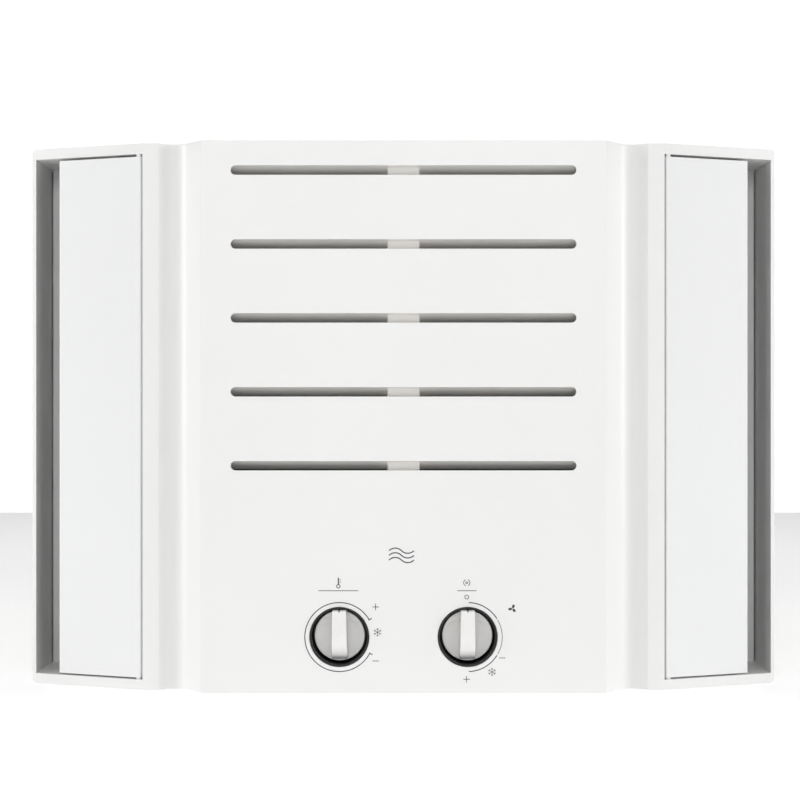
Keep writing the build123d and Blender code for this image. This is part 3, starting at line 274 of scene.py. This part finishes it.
def pull(bm, edges, move):
    """Extrudes a closed line of edges, each new point placed by move. Returns the new line."""
    grown = bmesh.ops.extrude_edge_only(bm, edges=edges)["geom"]
    for vert in picked(grown, bmesh.types.BMVert):
        vert.co = move(vert.co)
    fresh = set(picked(grown, bmesh.types.BMVert))
    return [e for e in picked(grown, bmesh.types.BMEdge) if e.verts[0] in fresh and e.verts[1] in fresh]


def turned(bm, profile, x, z, steps, closed=True):
    """Shape turned about an axis along Y at x, z from a profile of (radius, depth) points."""
    verts = [bm.verts.new((x + r, FACE + d, z)) for r, d in profile]
    pairs = zip(verts, verts[1:] + verts[:1]) if closed else zip(verts, verts[1:])
    edges = [bm.edges.new(pair) for pair in pairs]
    bmesh.ops.spin(bm, geom=verts + edges, cent=(x, 0, z), axis=(0, 1, 0), dvec=(0, 0, 0),
                   angle=2 * math.pi, steps=steps, use_merge=True, use_duplicate=False)
    bmesh.ops.remove_doubles(bm, verts=bm.verts[:], dist=0.0005)


def stadium(half, x, z, radius, depth, steps):
    """Points of a slot with round ends; half is the distance of the ends' middles from its own."""
    points = []
    for side in (1, -1):
        for i in range(steps + 1):
            turn = math.pi * (i / steps - 0.5) + (0 if side > 0 else math.pi)
            across, up = radius * math.cos(turn), radius * math.sin(turn)
            points.append((x + side * half + across, FACE + depth, z + up))
    return points


def mirrored(bm):
    """Adds the left-hand twin of everything."""
    bmesh.ops.mirror(bm, geom=bm.verts[:] + bm.edges[:] + bm.faces[:], axis="X", merge_dist=0.0)


def piece(name, bm, material, body, slot, *stands_for):
    """Closes a mesh as a finished piece that rides on body and stands for CAD nodes."""
    bmesh.ops.recalc_face_normals(bm, faces=bm.faces[:])
    bmesh.ops.scale(bm, vec=(MM, MM, MM), verts=bm.verts[:])
    mesh = bpy.data.meshes.new(name)
    bm.to_mesh(mesh)
    bm.free()
    mesh.materials.append(material)
    mesh.shade_smooth()
    mesh.set_sharp_from_angle(angle=math.radians(35))
    made = bpy.data.objects.new(name, mesh)
    bpy.context.scene.collection.objects.link(made)
    weighted = made.modifiers.new("flat faces stay flat", "WEIGHTED_NORMAL")
    weighted.keep_sharp = True
    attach(made, body)
    if stands_for:
        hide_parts(*stands_for)
    return made


# ---------------------------------------------------------------- front panel

WALL = 3.0
PANEL_HALF = 147.5
COVE_END = 180.0         # where the groove beside the panel ends
PANEL_BACK = 22.0
KNOB_X = 46.7
KNOB_Z = 40.7
WELL = 21.75
SLOT_HALF = 122.45       # middle of the slot to the middle of its round end
SLOT_RADIUS = 3.4
SLOT_ROWS = [380.5 - 53.8 * i for i in range(5)]
LIP = 0.5                # rounding of the slots' edges
HOLLOW_X = 169.25        # middle of the arc that hollows the groove
HOLLOW_DEPTH = 2.95
HOLLOW_RADIUS = 14.06
HOLLOW_SWEEP = math.radians(49.9)
HOLLOW_STEPS = 14
FLANK = 12.0             # depth at which the groove meets the panel's edge


def panel_outline(shift, side):
    """Plan of the panel: flat, sloping start of the groove, hollow of the groove, flank."""
    middle = Vector((HOLLOW_X, HOLLOW_DEPTH + shift))
    angles = [HOLLOW_SWEEP - HOLLOW_SWEEP * 2 * i / HOLLOW_STEPS for i in range(HOLLOW_STEPS + 1)]
    hollow = [middle + HOLLOW_RADIUS * Vector((math.sin(a), math.cos(a))) for a in angles]
    right = [(side, PANEL_BACK), (side, FLANK + 1.4 * shift)]
    right += [tuple(p) for p in hollow if p.x < side - 0.6] + [(PANEL_HALF, shift)]
    return right + [(-x, d) for x, d in reversed(right)]


def front_panel():
    bm = bmesh.new()
    # The outer skin, then the inner one a wall's thickness behind it.
    for shift, side, low, high in ((0.0, COVE_END, 0.0, HEIGHT),
                                   (WALL, COVE_END - WALL, WALL, HEIGHT - WALL)):
        skin = bmesh.new()
        bottom = [skin.verts.new((x, FACE + d, low)) for x, d in panel_outline(shift, side)]
        grown = bmesh.ops.extrude_face_region(skin, geom=[skin.faces.new(bottom)])["geom"]
        bmesh.ops.translate(skin, vec=(0, 0, high - low), verts=picked(grown, bmesh.types.BMVert))
        bmesh.ops.recalc_face_normals(skin, faces=skin.faces[:])
        if not shift:
            ease(skin, [e for e in skin.edges if abs(e.verts[0].co.z - e.verts[1].co.z) < 0.01
                        and (e.verts[0].co.y + e.verts[1].co.y) / 2 < FACE + PANEL_BACK - 0.1], 2.0, 5)
        back = [f for f in skin.faces if f.calc_center_median().y > FACE + PANEL_BACK - 0.01]
        flat = max((f for f in skin.faces if abs(f.calc_center_median().y - FACE - shift) < 0.01),
                   key=lambda f: f.calc_area())
        bmesh.ops.delete(skin, geom=back + [flat], context="FACES_ONLY")
        around = [e for e in skin.edges if e.is_boundary
                  and all(abs(v.co.y - FACE - shift) < 0.01 for v in e.verts)]
        lip = 0.0 if shift else LIP
        slots = [(SLOT_HALF, 0.0, z, SLOT_RADIUS) for z in SLOT_ROWS] + \
                [(0.0, x, KNOB_Z, WELL + 0.05) for x in (-KNOB_X, KNOB_X)]
        openings = [ring(skin, stadium(half, x, z, r + lip, shift, 12 if half else 48))
                    for half, x, z, r in slots]
        fill(skin, around + [e for line in openings for e in line])
        if not shift:
            for line, (half, x, z, r) in zip(openings, slots):
                for grow, depth in ((0.15, 0.15), (0.0, LIP), (0.0, WALL)):
                    def inward(co):
                        stem = Vector((x + max(-half, min(half, co.x - x)), 0, z))
                        out = Vector((co.x, 0, co.z)) - stem
                        spot = stem + out.normalized() * (r + grow)
                        return Vector((spot.x, FACE + depth, spot.z))
                    line = pull(skin, line, inward)
        mesh = bpy.data.meshes.new("skin")
        skin.to_mesh(mesh)
        skin.free()
        bm.from_mesh(mesh)
        bpy.data.meshes.remove(mesh)
    bmesh.ops.remove_doubles(bm, verts=bm.verts[:], dist=0.01)
    fill(bm, [e for e in bm.edges if e.is_boundary])
    piece("intake_panel", bm, white_abs, "root", "housing", "front_panel")


front_panel()

# ---------------------------------------------------------------- fascia frame

JAMB = 192.0             # outer edge of the flat strip beside the outlet
JAMB_DEPTH = 12.0
POCKET = 190.7           # outlet wall behind that strip's edge
SIDE_INNER = 277.0
OVERLAP = 15.0           # the side walls reach this far over the case
LIP_LOW = 7.4
LIP_HIGH = 7.7
REBATE = 2.2             # step in the window's edge that the door closes into
FILTER_HALF = 150.5      # slot in the top for the filter
FILTER_FRONT, FILTER_BACK = 24.5, 33.5


def frame_front(x):
    return JAMB_DEPTH + max(0.0, x - JAMB) * math.tan(BOW)


def fascia_frame():
    bm = bmesh.new()
    high = HEIGHT - LIP_HIGH
    outer = ring(bm, [(x, FACE, z) for x, z in ((COVE_END, 0), (JAMB, 0), (WIDTH / 2, 0), (WIDTH / 2, HEIGHT),
                                                (JAMB, HEIGHT), (COVE_END, HEIGHT))])
    window = ring(bm, [(x, FACE, z) for x, z in ((JAMB, LIP_LOW), (SIDE_INNER, LIP_LOW), (SIDE_INNER, high),
                                                 (JAMB, high))])
    fill(bm, outer + window)
    bmesh.ops.bisect_plane(bm, geom=bm.verts[:] + bm.edges[:] + bm.faces[:], dist=0.001,
                           plane_co=(JAMB, 0, 0), plane_no=(1, 0, 0))
    for vert in bm.verts:
        vert.co.y = FACE + frame_front(vert.co.x)
    rims = [e for e in bm.edges if e.is_boundary]
    outer = [e for e in rims if all(v.co.x > WIDTH / 2 - 1 or v.co.x < COVE_END + 1 or v.co.z < 1
                                    or v.co.z > HEIGHT - 1 for v in e.verts)]
    window = [e for e in rims if e not in outer]
    pull(bm, outer, lambda co: Vector((co.x, FACE + FASCIA_BACK, co.z)))
    window = pull(bm, window, lambda co: co + Vector((0, REBATE, 0)))
    window = pull(bm, window, lambda co: Vector((POCKET if co.x < JAMB + 1 else co.x, co.y, co.z)))
    bmesh.ops.remove_doubles(bm, verts=bm.verts[:], dist=0.001)
    window = [e for e in bm.edges if e.is_boundary and all(v.co.y < FACE + FASCIA_BACK - 1 for v in e.verts)]
    pull(bm, window, lambda co: Vector((co.x, FACE + FASCIA_BACK, co.z)))
    fill(bm, [e for e in bm.edges if e.is_boundary])
    bmesh.ops.recalc_face_normals(bm, faces=bm.faces[:])
    corner = [e for e in bm.edges if all(v.co.x > WIDTH / 2 - 0.01 for v in e.verts)
              and abs(e.verts[0].co.z - e.verts[1].co.z) < 0.01
              and (e.verts[0].co.z < 1 or e.verts[0].co.z > HEIGHT - 1)]
    ease(bm, corner, 3.5, 6)
    front = FACE + FASCIA_BACK - 0.5
    ease(bm, creases(bm, lambda e: min(v.co.y for v in e.verts) < front
                     and e.verts[0].co.x > COVE_END + 0.5), 0.45)
    brick(bm, (SIDE_INNER, WIDTH / 2), (FASCIA_BACK - 2, FASCIA_BACK + OVERLAP), (LIP_LOW, high), 0.4)
    mirrored(bm)
    for low in (0.0, HEIGHT - WALL):
        plate = [[(-COVE_END, PANEL_BACK), (COVE_END, PANEL_BACK), (COVE_END, FASCIA_BACK),
                  (-COVE_END, FASCIA_BACK)]]
        if low:
            plate.append([(-FILTER_HALF, FILTER_FRONT), (FILTER_HALF, FILTER_FRONT),
                          (FILTER_HALF, FILTER_BACK), (-FILTER_HALF, FILTER_BACK)])
        slab(bm, [[(x, FACE + d, low) for x, d in outline] for outline in plate], (0, 0, WALL))
    piece("outlet_frame", bm, white_abs, "root", "housing", "fascia_frame")


fascia_frame()

# ---------------------------------------------------------------- intake grille

GRILLE_LOW, GRILLE_HIGH = 96.0, 398.8
BLADE_HALF = 145.5
GRILLE_HALF = 153.5
GRILLE_RAIL = 2.7

bm = bmesh.new()
for z in SLOT_ROWS:
    blade = [(3.0, z + 4.0), (3.0, z + 5.5), (14.0, z - 1.6), (14.0, z - 3.1)]
    slab(bm, [[(-BLADE_HALF, FACE + d, h) for d, h in blade]], (2 * BLADE_HALF, 0, 0))
ease(bm, creases(bm), 0.35)
brick(bm, (-11.8, 11.8), (5, 16), (GRILLE_LOW, GRILLE_HIGH), 1.2, 3)
for side in (-1, 1):
    for near, far, d0, d1 in ((136.5, 146.5, 3, 24), (136.5, GRILLE_HALF, 20.2, 24),
                              (150.5, GRILLE_HALF, 24, 35), (BLADE_HALF, GRILLE_HALF, 33.5, 35)):
        brick(bm, sorted((side * near, side * far)), (d0, d1), (GRILLE_LOW, GRILLE_HIGH), 0.4)
for low, high in ((GRILLE_LOW, GRILLE_LOW + GRILLE_RAIL), (GRILLE_LOW + 90, GRILLE_LOW + 94)):
    brick(bm, (-BLADE_HALF, BLADE_HALF), (8, 24), (low, high), 0.4)
brick(bm, (-GRILLE_HALF, GRILLE_HALF), (24, 35), (GRILLE_LOW, GRILLE_LOW + GRILLE_RAIL), 0.4)
piece("slot_blades", bm, grille_abs, "root", "grille", "intake_grille")

# ---------------------------------------------------------------- deflector doors

DOOR_THICK = 5.0
DOOR_SPAN = 68.3
DOOR_LOW, DOOR_HIGH = 8.7, 392.5
DOOR_START = JAMB + 1.5
DOOR_SKIN = 2.2          # what is left of the door under its hollow bays
DOOR_BAYS = 4
PIN = 1.8
PIN_IN = 2.6             # the pin's middle from the door's hinged edge
PIN_OUT = 3.5            # the pin's reach into the frame's lips


def deflector(side):
    """Door with hollow bays in its back and a hinge pin at each end."""
    bm = bmesh.new()
    brick(bm, (0, DOOR_SPAN), (0, DOOR_THICK), (DOOR_LOW, DOOR_HIGH))
    ease(bm, [e for e in bm.edges if abs(e.verts[0].co.z - e.verts[1].co.z) > 1], 1.0, 4)
    ease(bm, creases(bm, lambda e: abs(e.verts[0].co.z - e.verts[1].co.z) < 0.01), 0.6, 3)
    back = max((f for f in bm.faces if f.calc_center_median().y > FACE + DOOR_THICK - 0.01),
               key=lambda f: f.calc_area())
    around = list(back.edges)
    bmesh.ops.delete(bm, geom=[back], context="FACES_ONLY")
    border, rib = 6.0, 2.0
    bay = (DOOR_HIGH - DOOR_LOW - 2 * border - (DOOR_BAYS - 1) * rib) / DOOR_BAYS
    bays = []
    for i in range(DOOR_BAYS):
        low = DOOR_LOW + border + i * (bay + rib)
        corners = ((border, low), (DOOR_SPAN - border, low), (DOOR_SPAN - border, low + bay),
                   (border, low + bay))
        bays.append(ring(bm, [(x, FACE + DOOR_THICK, z) for x, z in corners]))
    fill(bm, around + [e for line in bays for e in line])
    for line in bays:
        fill(bm, pull(bm, line, lambda co: co + Vector((0, DOOR_SKIN - DOOR_THICK, 0))))
    ease(bm, creases(bm, lambda e: min(v.co.y for v in e.verts) > FACE + 2.0
                     and all(border - 0.1 < v.co.x < DOOR_SPAN - border + 0.1 for v in e.verts)), 0.4)
    turn = Matrix.Rotation(BOW, 4, "Z")
    start = Vector((DOOR_START, FACE + frame_front(DOOR_START), 0))
    origin = Vector((0, FACE, 0))
    for vert in bm.verts:
        vert.co = start + turn @ (vert.co - origin)
    pin = start + turn @ Vector((PIN_IN, DOOR_THICK / 2, 0))
    for low, high in ((LIP_LOW - PIN_OUT, DOOR_LOW + 1), (DOOR_HIGH - 1, HEIGHT - LIP_HIGH + PIN_OUT)):
        made = bmesh.ops.create_cone(bm, cap_ends=True, cap_tris=False, segments=32, radius1=PIN, radius2=PIN,
                                     depth=high - low)["verts"]
        bmesh.ops.translate(bm, vec=(pin.x, pin.y, (low + high) / 2), verts=made)
        ease(bm, list(dict.fromkeys(e for v in made for e in v.link_edges
                                    if abs(e.verts[0].co.z - e.verts[1].co.z) < 0.01)), 0.3)
    if side < 0:
        bmesh.ops.scale(bm, vec=(-1, 1, 1), verts=bm.verts[:])
    name = "right_deflector" if side > 0 else "left_deflector"
    piece(name + "_door", bm, door_abs, name, "housing", name)


for side in (1, -1):
    deflector(side)

# ---------------------------------------------------------------- knobs

DISC = 18.4
DISC_FRONT, DISC_BACK = 8.0, 12.0


def scoop(x, z):
    """Depth of the finger hollows beside the grip: a curved shoulder above, fading out below."""
    shoulder = 12.2 - 0.05 * (abs(x) - 5.3) ** 2
    step = max(0.0, min(1.0, (shoulder - z) / 1.8))
    step = step * step * (3 - 2 * step)
    fade = max(0.0, min(1.0, (z + 17.0) / 27.0))
    edge = max(0.0, 1.0 - (math.hypot(x, z) / 16.9) ** 4)
    return 2.9 * step * fade * edge


def knob(name, x):
    bm = bmesh.new()
    front = DISC_FRONT + 0.55
    profile = [(0, DISC_BACK), (DISC - 0.5, DISC_BACK), (DISC, DISC_BACK - 0.5), (DISC, DISC_FRONT + 0.5),
               (DISC - 0.15, DISC_FRONT + 0.15), (DISC - 0.5, DISC_FRONT), (DISC - 0.9, DISC_FRONT + 0.12),
               (DISC - 1.2, front)]
    profile += [((DISC - 1.2) * (1 - i / 22), front) for i in range(1, 23)]
    turned(bm, profile, x, KNOB_Z, 112, closed=False)
    for vert in bm.verts:
        if abs(vert.co.y - FACE - front) < 0.01:
            vert.co.y += scoop(vert.co.x - x, vert.co.z - KNOB_Z)
    turned(bm, [(3.05, DISC_BACK - 0.4), (7.0, DISC_BACK - 0.4), (7.0, 13.1), (6.7, 13.4), (3.05, 13.4)],
           x, KNOB_Z, 40)
    # The grip, drawn from the front: square pointer end with a small notch, a little wider at the foot.
    top, foot = DISC + 1.2, -17.2
    outline = [(-0.7, top), (-0.7, top - 0.9), (0.7, top - 0.9), (0.7, top), (5.3, top), (5.5, 6),
               (6.0, foot), (-6.0, foot), (-5.5, 6), (-5.3, top)]
    grip = bmesh.new()
    slab(grip, [[(px, FACE - 7.0, pz) for px, pz in outline]], (0, DISC_BACK + 6.6, 0))
    # Its front falls back to the disc below the middle, in five short flats that shade as one curve.
    flats = ((-7.0, 3.0, 10), (-6.6, 0.0, 22), (-5.2, -4.0, 34), (-3.0, -8.0, 46), (1.2, -12.6, 56))
    for y, z, slope in flats:
        tilt = math.radians(slope)
        cut = bmesh.ops.bisect_plane(grip, geom=grip.verts[:] + grip.edges[:] + grip.faces[:],
                                     dist=0.0001, plane_co=(0, FACE + y, z), clear_outer=True,
                                     plane_no=(0, -math.cos(tilt), -math.sin(tilt)))["geom_cut"]
        bmesh.ops.contextual_create(grip, geom=picked(cut, bmesh.types.BMEdge))
    # Draft: the sides lean in towards the front.
    for vert in grip.verts:
        vert.co.x *= 1.0 - 0.05 * max(0.0, (FACE + DISC_FRONT - vert.co.y) / 15.0)
    ease(grip, creases(grip, lambda e: min(v.co.y for v in e.verts) < FACE + 8.0
                       and all(abs(v.co.x) > 1 for v in e.verts), 40.0), 0.9, 4)
    bmesh.ops.translate(grip, vec=(x, 0, KNOB_Z), verts=grip.verts[:])
    mesh = bpy.data.meshes.new("grip")
    grip.to_mesh(mesh)
    grip.free()
    bm.from_mesh(mesh)
    bpy.data.meshes.remove(mesh)
    piece(name + "_cap", bm, knob_abs, name, "knob", name)


knob("temperature_knob", -KNOB_X)
knob("mode_knob", KNOB_X)

bm = bmesh.new()
for x in (-KNOB_X, KNOB_X):
    turned(bm, [(WELL - 0.35, 0), (WELL, 0.35), (WELL, 15.6), (WELL - 0.4, 16), (9.5, 16), (9.5, 14.5),
                (WELL - 2.3, 14.5), (WELL - 1.5, 13.7), (WELL - 1.5, 0.4), (WELL - 1.1, 0)], x, KNOB_Z, 96)
piece("dial_cups", bm, black_abs, "root", "black_plastic", "knob_cups")

# ---------------------------------------------------------------- dial print

PRINT = 0.04             # ink stands this far off the panel
ARC = 25.1               # radius of the arcs around the knobs
BOLD = 0.7               # width of the arcs
FINE = 0.5               # width of the signs' lines


def stroke(bm, start, end, width):
    """Printed line between two points of the panel's face."""
    a, b = Vector((start[0], 0, start[1])), Vector((end[0], 0, end[1]))
    along = (b - a).normalized() * width / 2
    side = Vector((-along.z, 0, along.x))
    corners = [a - along + side, b + along + side, b + along - side, a - along - side]
    slab(bm, [[(p.x, FACE - PRINT, p.z) for p in corners]], (0, 2 * PRINT, 0))


def arc(bm, x, z, radius, start, end, width):
    """Printed arc from start to end, in degrees clockwise from straight up."""
    steps = max(6, int(abs(end - start) / 4))
    points = []
    for r, turns in ((radius + width / 2, range(steps + 1)), (radius - width / 2, range(steps, -1, -1))):
        for i in turns:
            turn = math.radians(start + (end - start) * i / steps)
            points.append((x + r * math.sin(turn), FACE - PRINT, z + r * math.cos(turn)))
    if abs(end - start) > 359:
        half = len(points) // 2
        slab(bm, [points[:half - 1], points[half:-1]], (0, 2 * PRINT, 0))
    else:
        slab(bm, [points], (0, 2 * PRINT, 0))


def snowflake(bm, x, z, size):
    """Three crossing lines with a pair of twigs near each tip."""
    for i in range(3):
        turn = math.radians(60 * i)
        tip = Vector((math.sin(turn), math.cos(turn))) * size
        stroke(bm, (x - tip.x, z - tip.y), (x + tip.x, z + tip.y), 0.34)
    for i in range(6):
        for bend in (-32, 32):
            turn = math.radians(60 * i)
            root = Vector((math.sin(turn), math.cos(turn))) * size * 0.55
            away = turn + math.radians(bend)
            twig = Vector((math.sin(away), math.cos(away))) * size * 0.42
            stroke(bm, (x + root.x, z + root.y), (x + root.x + twig.x, z + root.y + twig.y), 0.28)


def plus(bm, x, z, size, upright=True):
    """Plus sign, or a minus sign when not upright."""
    stroke(bm, (x - size, z), (x + size, z), FINE)
    if upright:
        stroke(bm, (x, z - size), (x, z + size), FINE)


bm = bmesh.new()
arc(bm, -KNOB_X, KNOB_Z, ARC, 118, 420, BOLD)
for turn in (118, 420):
    out = Vector((math.sin(math.radians(turn)), math.cos(math.radians(turn))))
    stroke(bm, (-KNOB_X + out.x * (ARC - 0.2), KNOB_Z + out.y * (ARC - 0.2)),
           (-KNOB_X + out.x * (ARC + 1.8), KNOB_Z + out.y * (ARC + 1.8)), BOLD)
arc(bm, KNOB_X, KNOB_Z, ARC, 2, 58, BOLD)
arc(bm, KNOB_X, KNOB_Z, ARC, 122, 178, BOLD)
plus(bm, -20.3, 62.6, 2.1)
plus(bm, -20.3, 23.3, 2.1, upright=False)
snowflake(bm, -18.9, 44.2, 2.8)
arc(bm, 46.0, 69.8, 1.4, 0, 360, 0.5)
plus(bm, 71.8, 25.5, 2.0, upright=False)
snowflake(bm, 64.4, 15.3, 2.8)
plus(bm, 45.9, 10.0, 2.1)
# Small fan: three oval blades, each standing off the middle along its own direction.
FAN_X, FAN_Z = 79.3, 61.4
BLADE_OUT, BLADE_WIDE, BLADE_LONG = 1.7, 0.95, 1.45
for i in range(3):
    turn = math.radians(120 * i + 20)
    blade = []
    for a in [2 * math.pi * k / 16 for k in range(16)]:
        wide, long = BLADE_WIDE * math.cos(a), BLADE_OUT + BLADE_LONG * math.sin(a)
        blade.append((FAN_X + long * math.sin(turn) + wide * math.cos(turn), FACE - PRINT,
                      FAN_Z + long * math.cos(turn) - wide * math.sin(turn)))
    slab(bm, [blade], (0, 2 * PRINT, 0))
# Small thermometer over its line, and a mode sign, a dot in a broken ring, over its own.
arc(bm, -47.4, 77.6, 1.25, 0, 360, 0.6)
stroke(bm, (-47.4, 79.2), (-47.4, 83.4), 0.9)
for h in (80.2, 81.4, 82.6):
    stroke(bm, (-46.5, h), (-45.6, h), 0.3)
stroke(bm, (-61.6, 74.4), (-33.2, 74.4), FINE)
arc(bm, 46.0, 80.2, 2.3, 20, 160, FINE)
arc(bm, 46.0, 80.2, 2.3, 200, 340, FINE)
arc(bm, 46.0, 80.2, 0.7, 0, 360, FINE)
stroke(bm, (39.4, 74.4), (52.8, 74.4), FINE)
# Airflow sign in the middle of the panel: three waves.
for row in range(3):
    base = 96.4 + 3.4 * row
    arc(bm, -6.0, base - 4.2, 6.4, -45, 45, 0.85)
    arc(bm, 3.05, base + 4.85, 6.4, 135, 225, 0.85)
piece("dial_print", bm, ink, "root", "black_plastic")

bm = bmesh.new()
arc(bm, KNOB_X, KNOB_Z, ARC, 60, 120, 0.6)
piece("dial_print_pale", bm, grey_ink, "root", "black_plastic")

# ---------------------------------------------------------------- guards


def guard(bm, x, d, z, border, columns, rows, bar_x, bar_z):
    """Moulded grid between two depths, with columns by rows of windows."""
    wide = (x[1] - x[0] - 2 * border - (columns - 1) * bar_x) / columns
    tall = (z[1] - z[0] - 2 * border - (rows - 1) * bar_z) / rows
    outlines = [[(x[0], z[0]), (x[1], z[0]), (x[1], z[1]), (x[0], z[1])]]
    for i in range(columns):
        for j in range(rows):
            x0 = x[0] + border + i * (wide + bar_x)
            z0 = z[0] + border + j * (tall + bar_z)
            outlines.append([(x0, z0), (x0 + wide, z0), (x0 + wide, z0 + tall), (x0, z0 + tall)])
    slab(bm, [[(px, FACE + d[0], pz) for px, pz in outline] for outline in outlines], (0, d[1] - d[0], 0))


slot_of = {part["node"]: part["material_slot"] for part in frame["record"]["subparts"]}
for side, name in ((1, "right"), (-1, "left")):
    bm = bmesh.new()
    guard(bm, (POCKET, 275.5), (90, 95), (LIP_LOW, HEIGHT - LIP_HIGH), 5.0, 2, 15, 2.0, 2.0)
    ease(bm, creases(bm), 0.4)
    if side < 0:
        bmesh.ops.scale(bm, vec=(-1, 1, 1), verts=bm.verts[:])
    stood_for = name + "_outlet_guard"
    piece(name + "_outlet_grid", bm, white_abs, "root", slot_of[stood_for], stood_for)

# ---------------------------------------------------------------- coils


def fins(name, half, front, back, low, high, pitch, *stands_for):
    """Stack of thin fins, each pressed with shallow waves along its depth."""
    bm = bmesh.new()
    thick, waves, depth = 0.2, 6, 0.35
    line = [(depth * (i % 2), front + (back - front) * i / waves) for i in range(waves + 1)]
    outline = line + [(x + thick, d) for x, d in reversed(line)]
    count = int(2 * half / pitch)
    for i in range(count):
        x0 = -half + (i + 0.5) * pitch
        slab(bm, [[(x0 + x, FACE + d, low) for x, d in outline]], (0, 0, high - low))
    piece(name, bm, foil, "root", "fin_aluminium", *stands_for)


for coil, pitch in (("evaporator", 2.2), ("condenser", 2.0)):
    low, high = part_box(coil + "_fins")
    fins(coil + "_fin_stack", high.x / MM, low.y / MM - FACE, high.y / MM - FACE, low.z / MM, high.z / MM,
         pitch, coil + "_fins")

# ---------------------------------------------------------------- floor and light

floor = bpy.data.meshes.new("floor")
bm = bmesh.new()
bmesh.ops.create_grid(bm, x_segments=1, y_segments=1, size=3.0)
bmesh.ops.translate(bm, vec=(0, -1.4, -0.0005), verts=bm.verts[:])
bm.to_mesh(floor)
bm.free()
# Matt white board of a lit product table: a little light comes through it from below.
floor.materials.append(finish("matt white board", "f7f7f7", "f4f4f4", 400, (0.75, 0.85), "grain", 3.0, 0.01,
                              **{"Emission Color": [1.0, 1.0, 1.0, 1.0], "Emission Strength": 0.32}))
floor = bpy.data.objects.new("floor", floor)
bpy.context.scene.collection.objects.link(floor)


def soft_light(name, place, aim, size, power):
    """Large soft panel of light turned towards aim."""
    lamp = bpy.data.lights.new(name, "AREA")
    lamp.shape = "RECTANGLE"
    lamp.size, lamp.size_y = size
    lamp.energy = power
    made = bpy.data.objects.new(name, lamp)
    made.location = place
    made.rotation_euler = (Vector(aim) - Vector(place)).to_track_quat("-Z", "Y").to_euler()
    bpy.context.scene.collection.objects.link(made)


for side, name in ((-1, "left"), (1, "right")):
    soft_light(name + " softbox", (side * 2.5, -1.05, 0.6), (0, -0.25, 0.25), (0.7, 1.6), 24)
soft_light("front softbox", (0.0, -2.8, 0.9), (0, -0.2, 0.2), (0.8, 0.6), 9)
soft_light("top softbox", (0.0, -0.3, 2.4), (0, -0.3, 0), (2.4, 4.5), 38)

# The room: bright in front and above, dark at both sides, as between two black flags.
world = bpy.data.worlds.new("studio")
bpy.context.scene.world = world
world.use_nodes = True
sky = world.node_tree
sky.nodes.clear()
ray = node(sky, "ShaderNodeTexCoord").outputs["Generated"]
across = node(sky, "ShaderNodeSeparateXYZ", {"Vector": ray}).outputs["X"]
aside = node(sky, "ShaderNodeMath", {0: across}, operation="ABSOLUTE").outputs["Value"]
glow = node(sky, "ShaderNodeMapRange", {"Value": aside, "From Min": 0.25, "From Max": 0.75, "To Min": 0.25,
                                        "To Max": 0.05}, interpolation_type="SMOOTHSTEP").outputs["Result"]
seen = node(sky, "ShaderNodeLightPath").outputs["Is Camera Ray"]
backdrop = node(sky, "ShaderNodeMix", {0: seen, 2: glow, 3: 1.05}).outputs[0]
white = node(sky, "ShaderNodeBackground", {"Color": [1.0, 1.0, 1.0, 1.0], "Strength": backdrop})
node(sky, "ShaderNodeOutputWorld", {"Surface": white.outputs["Background"]})
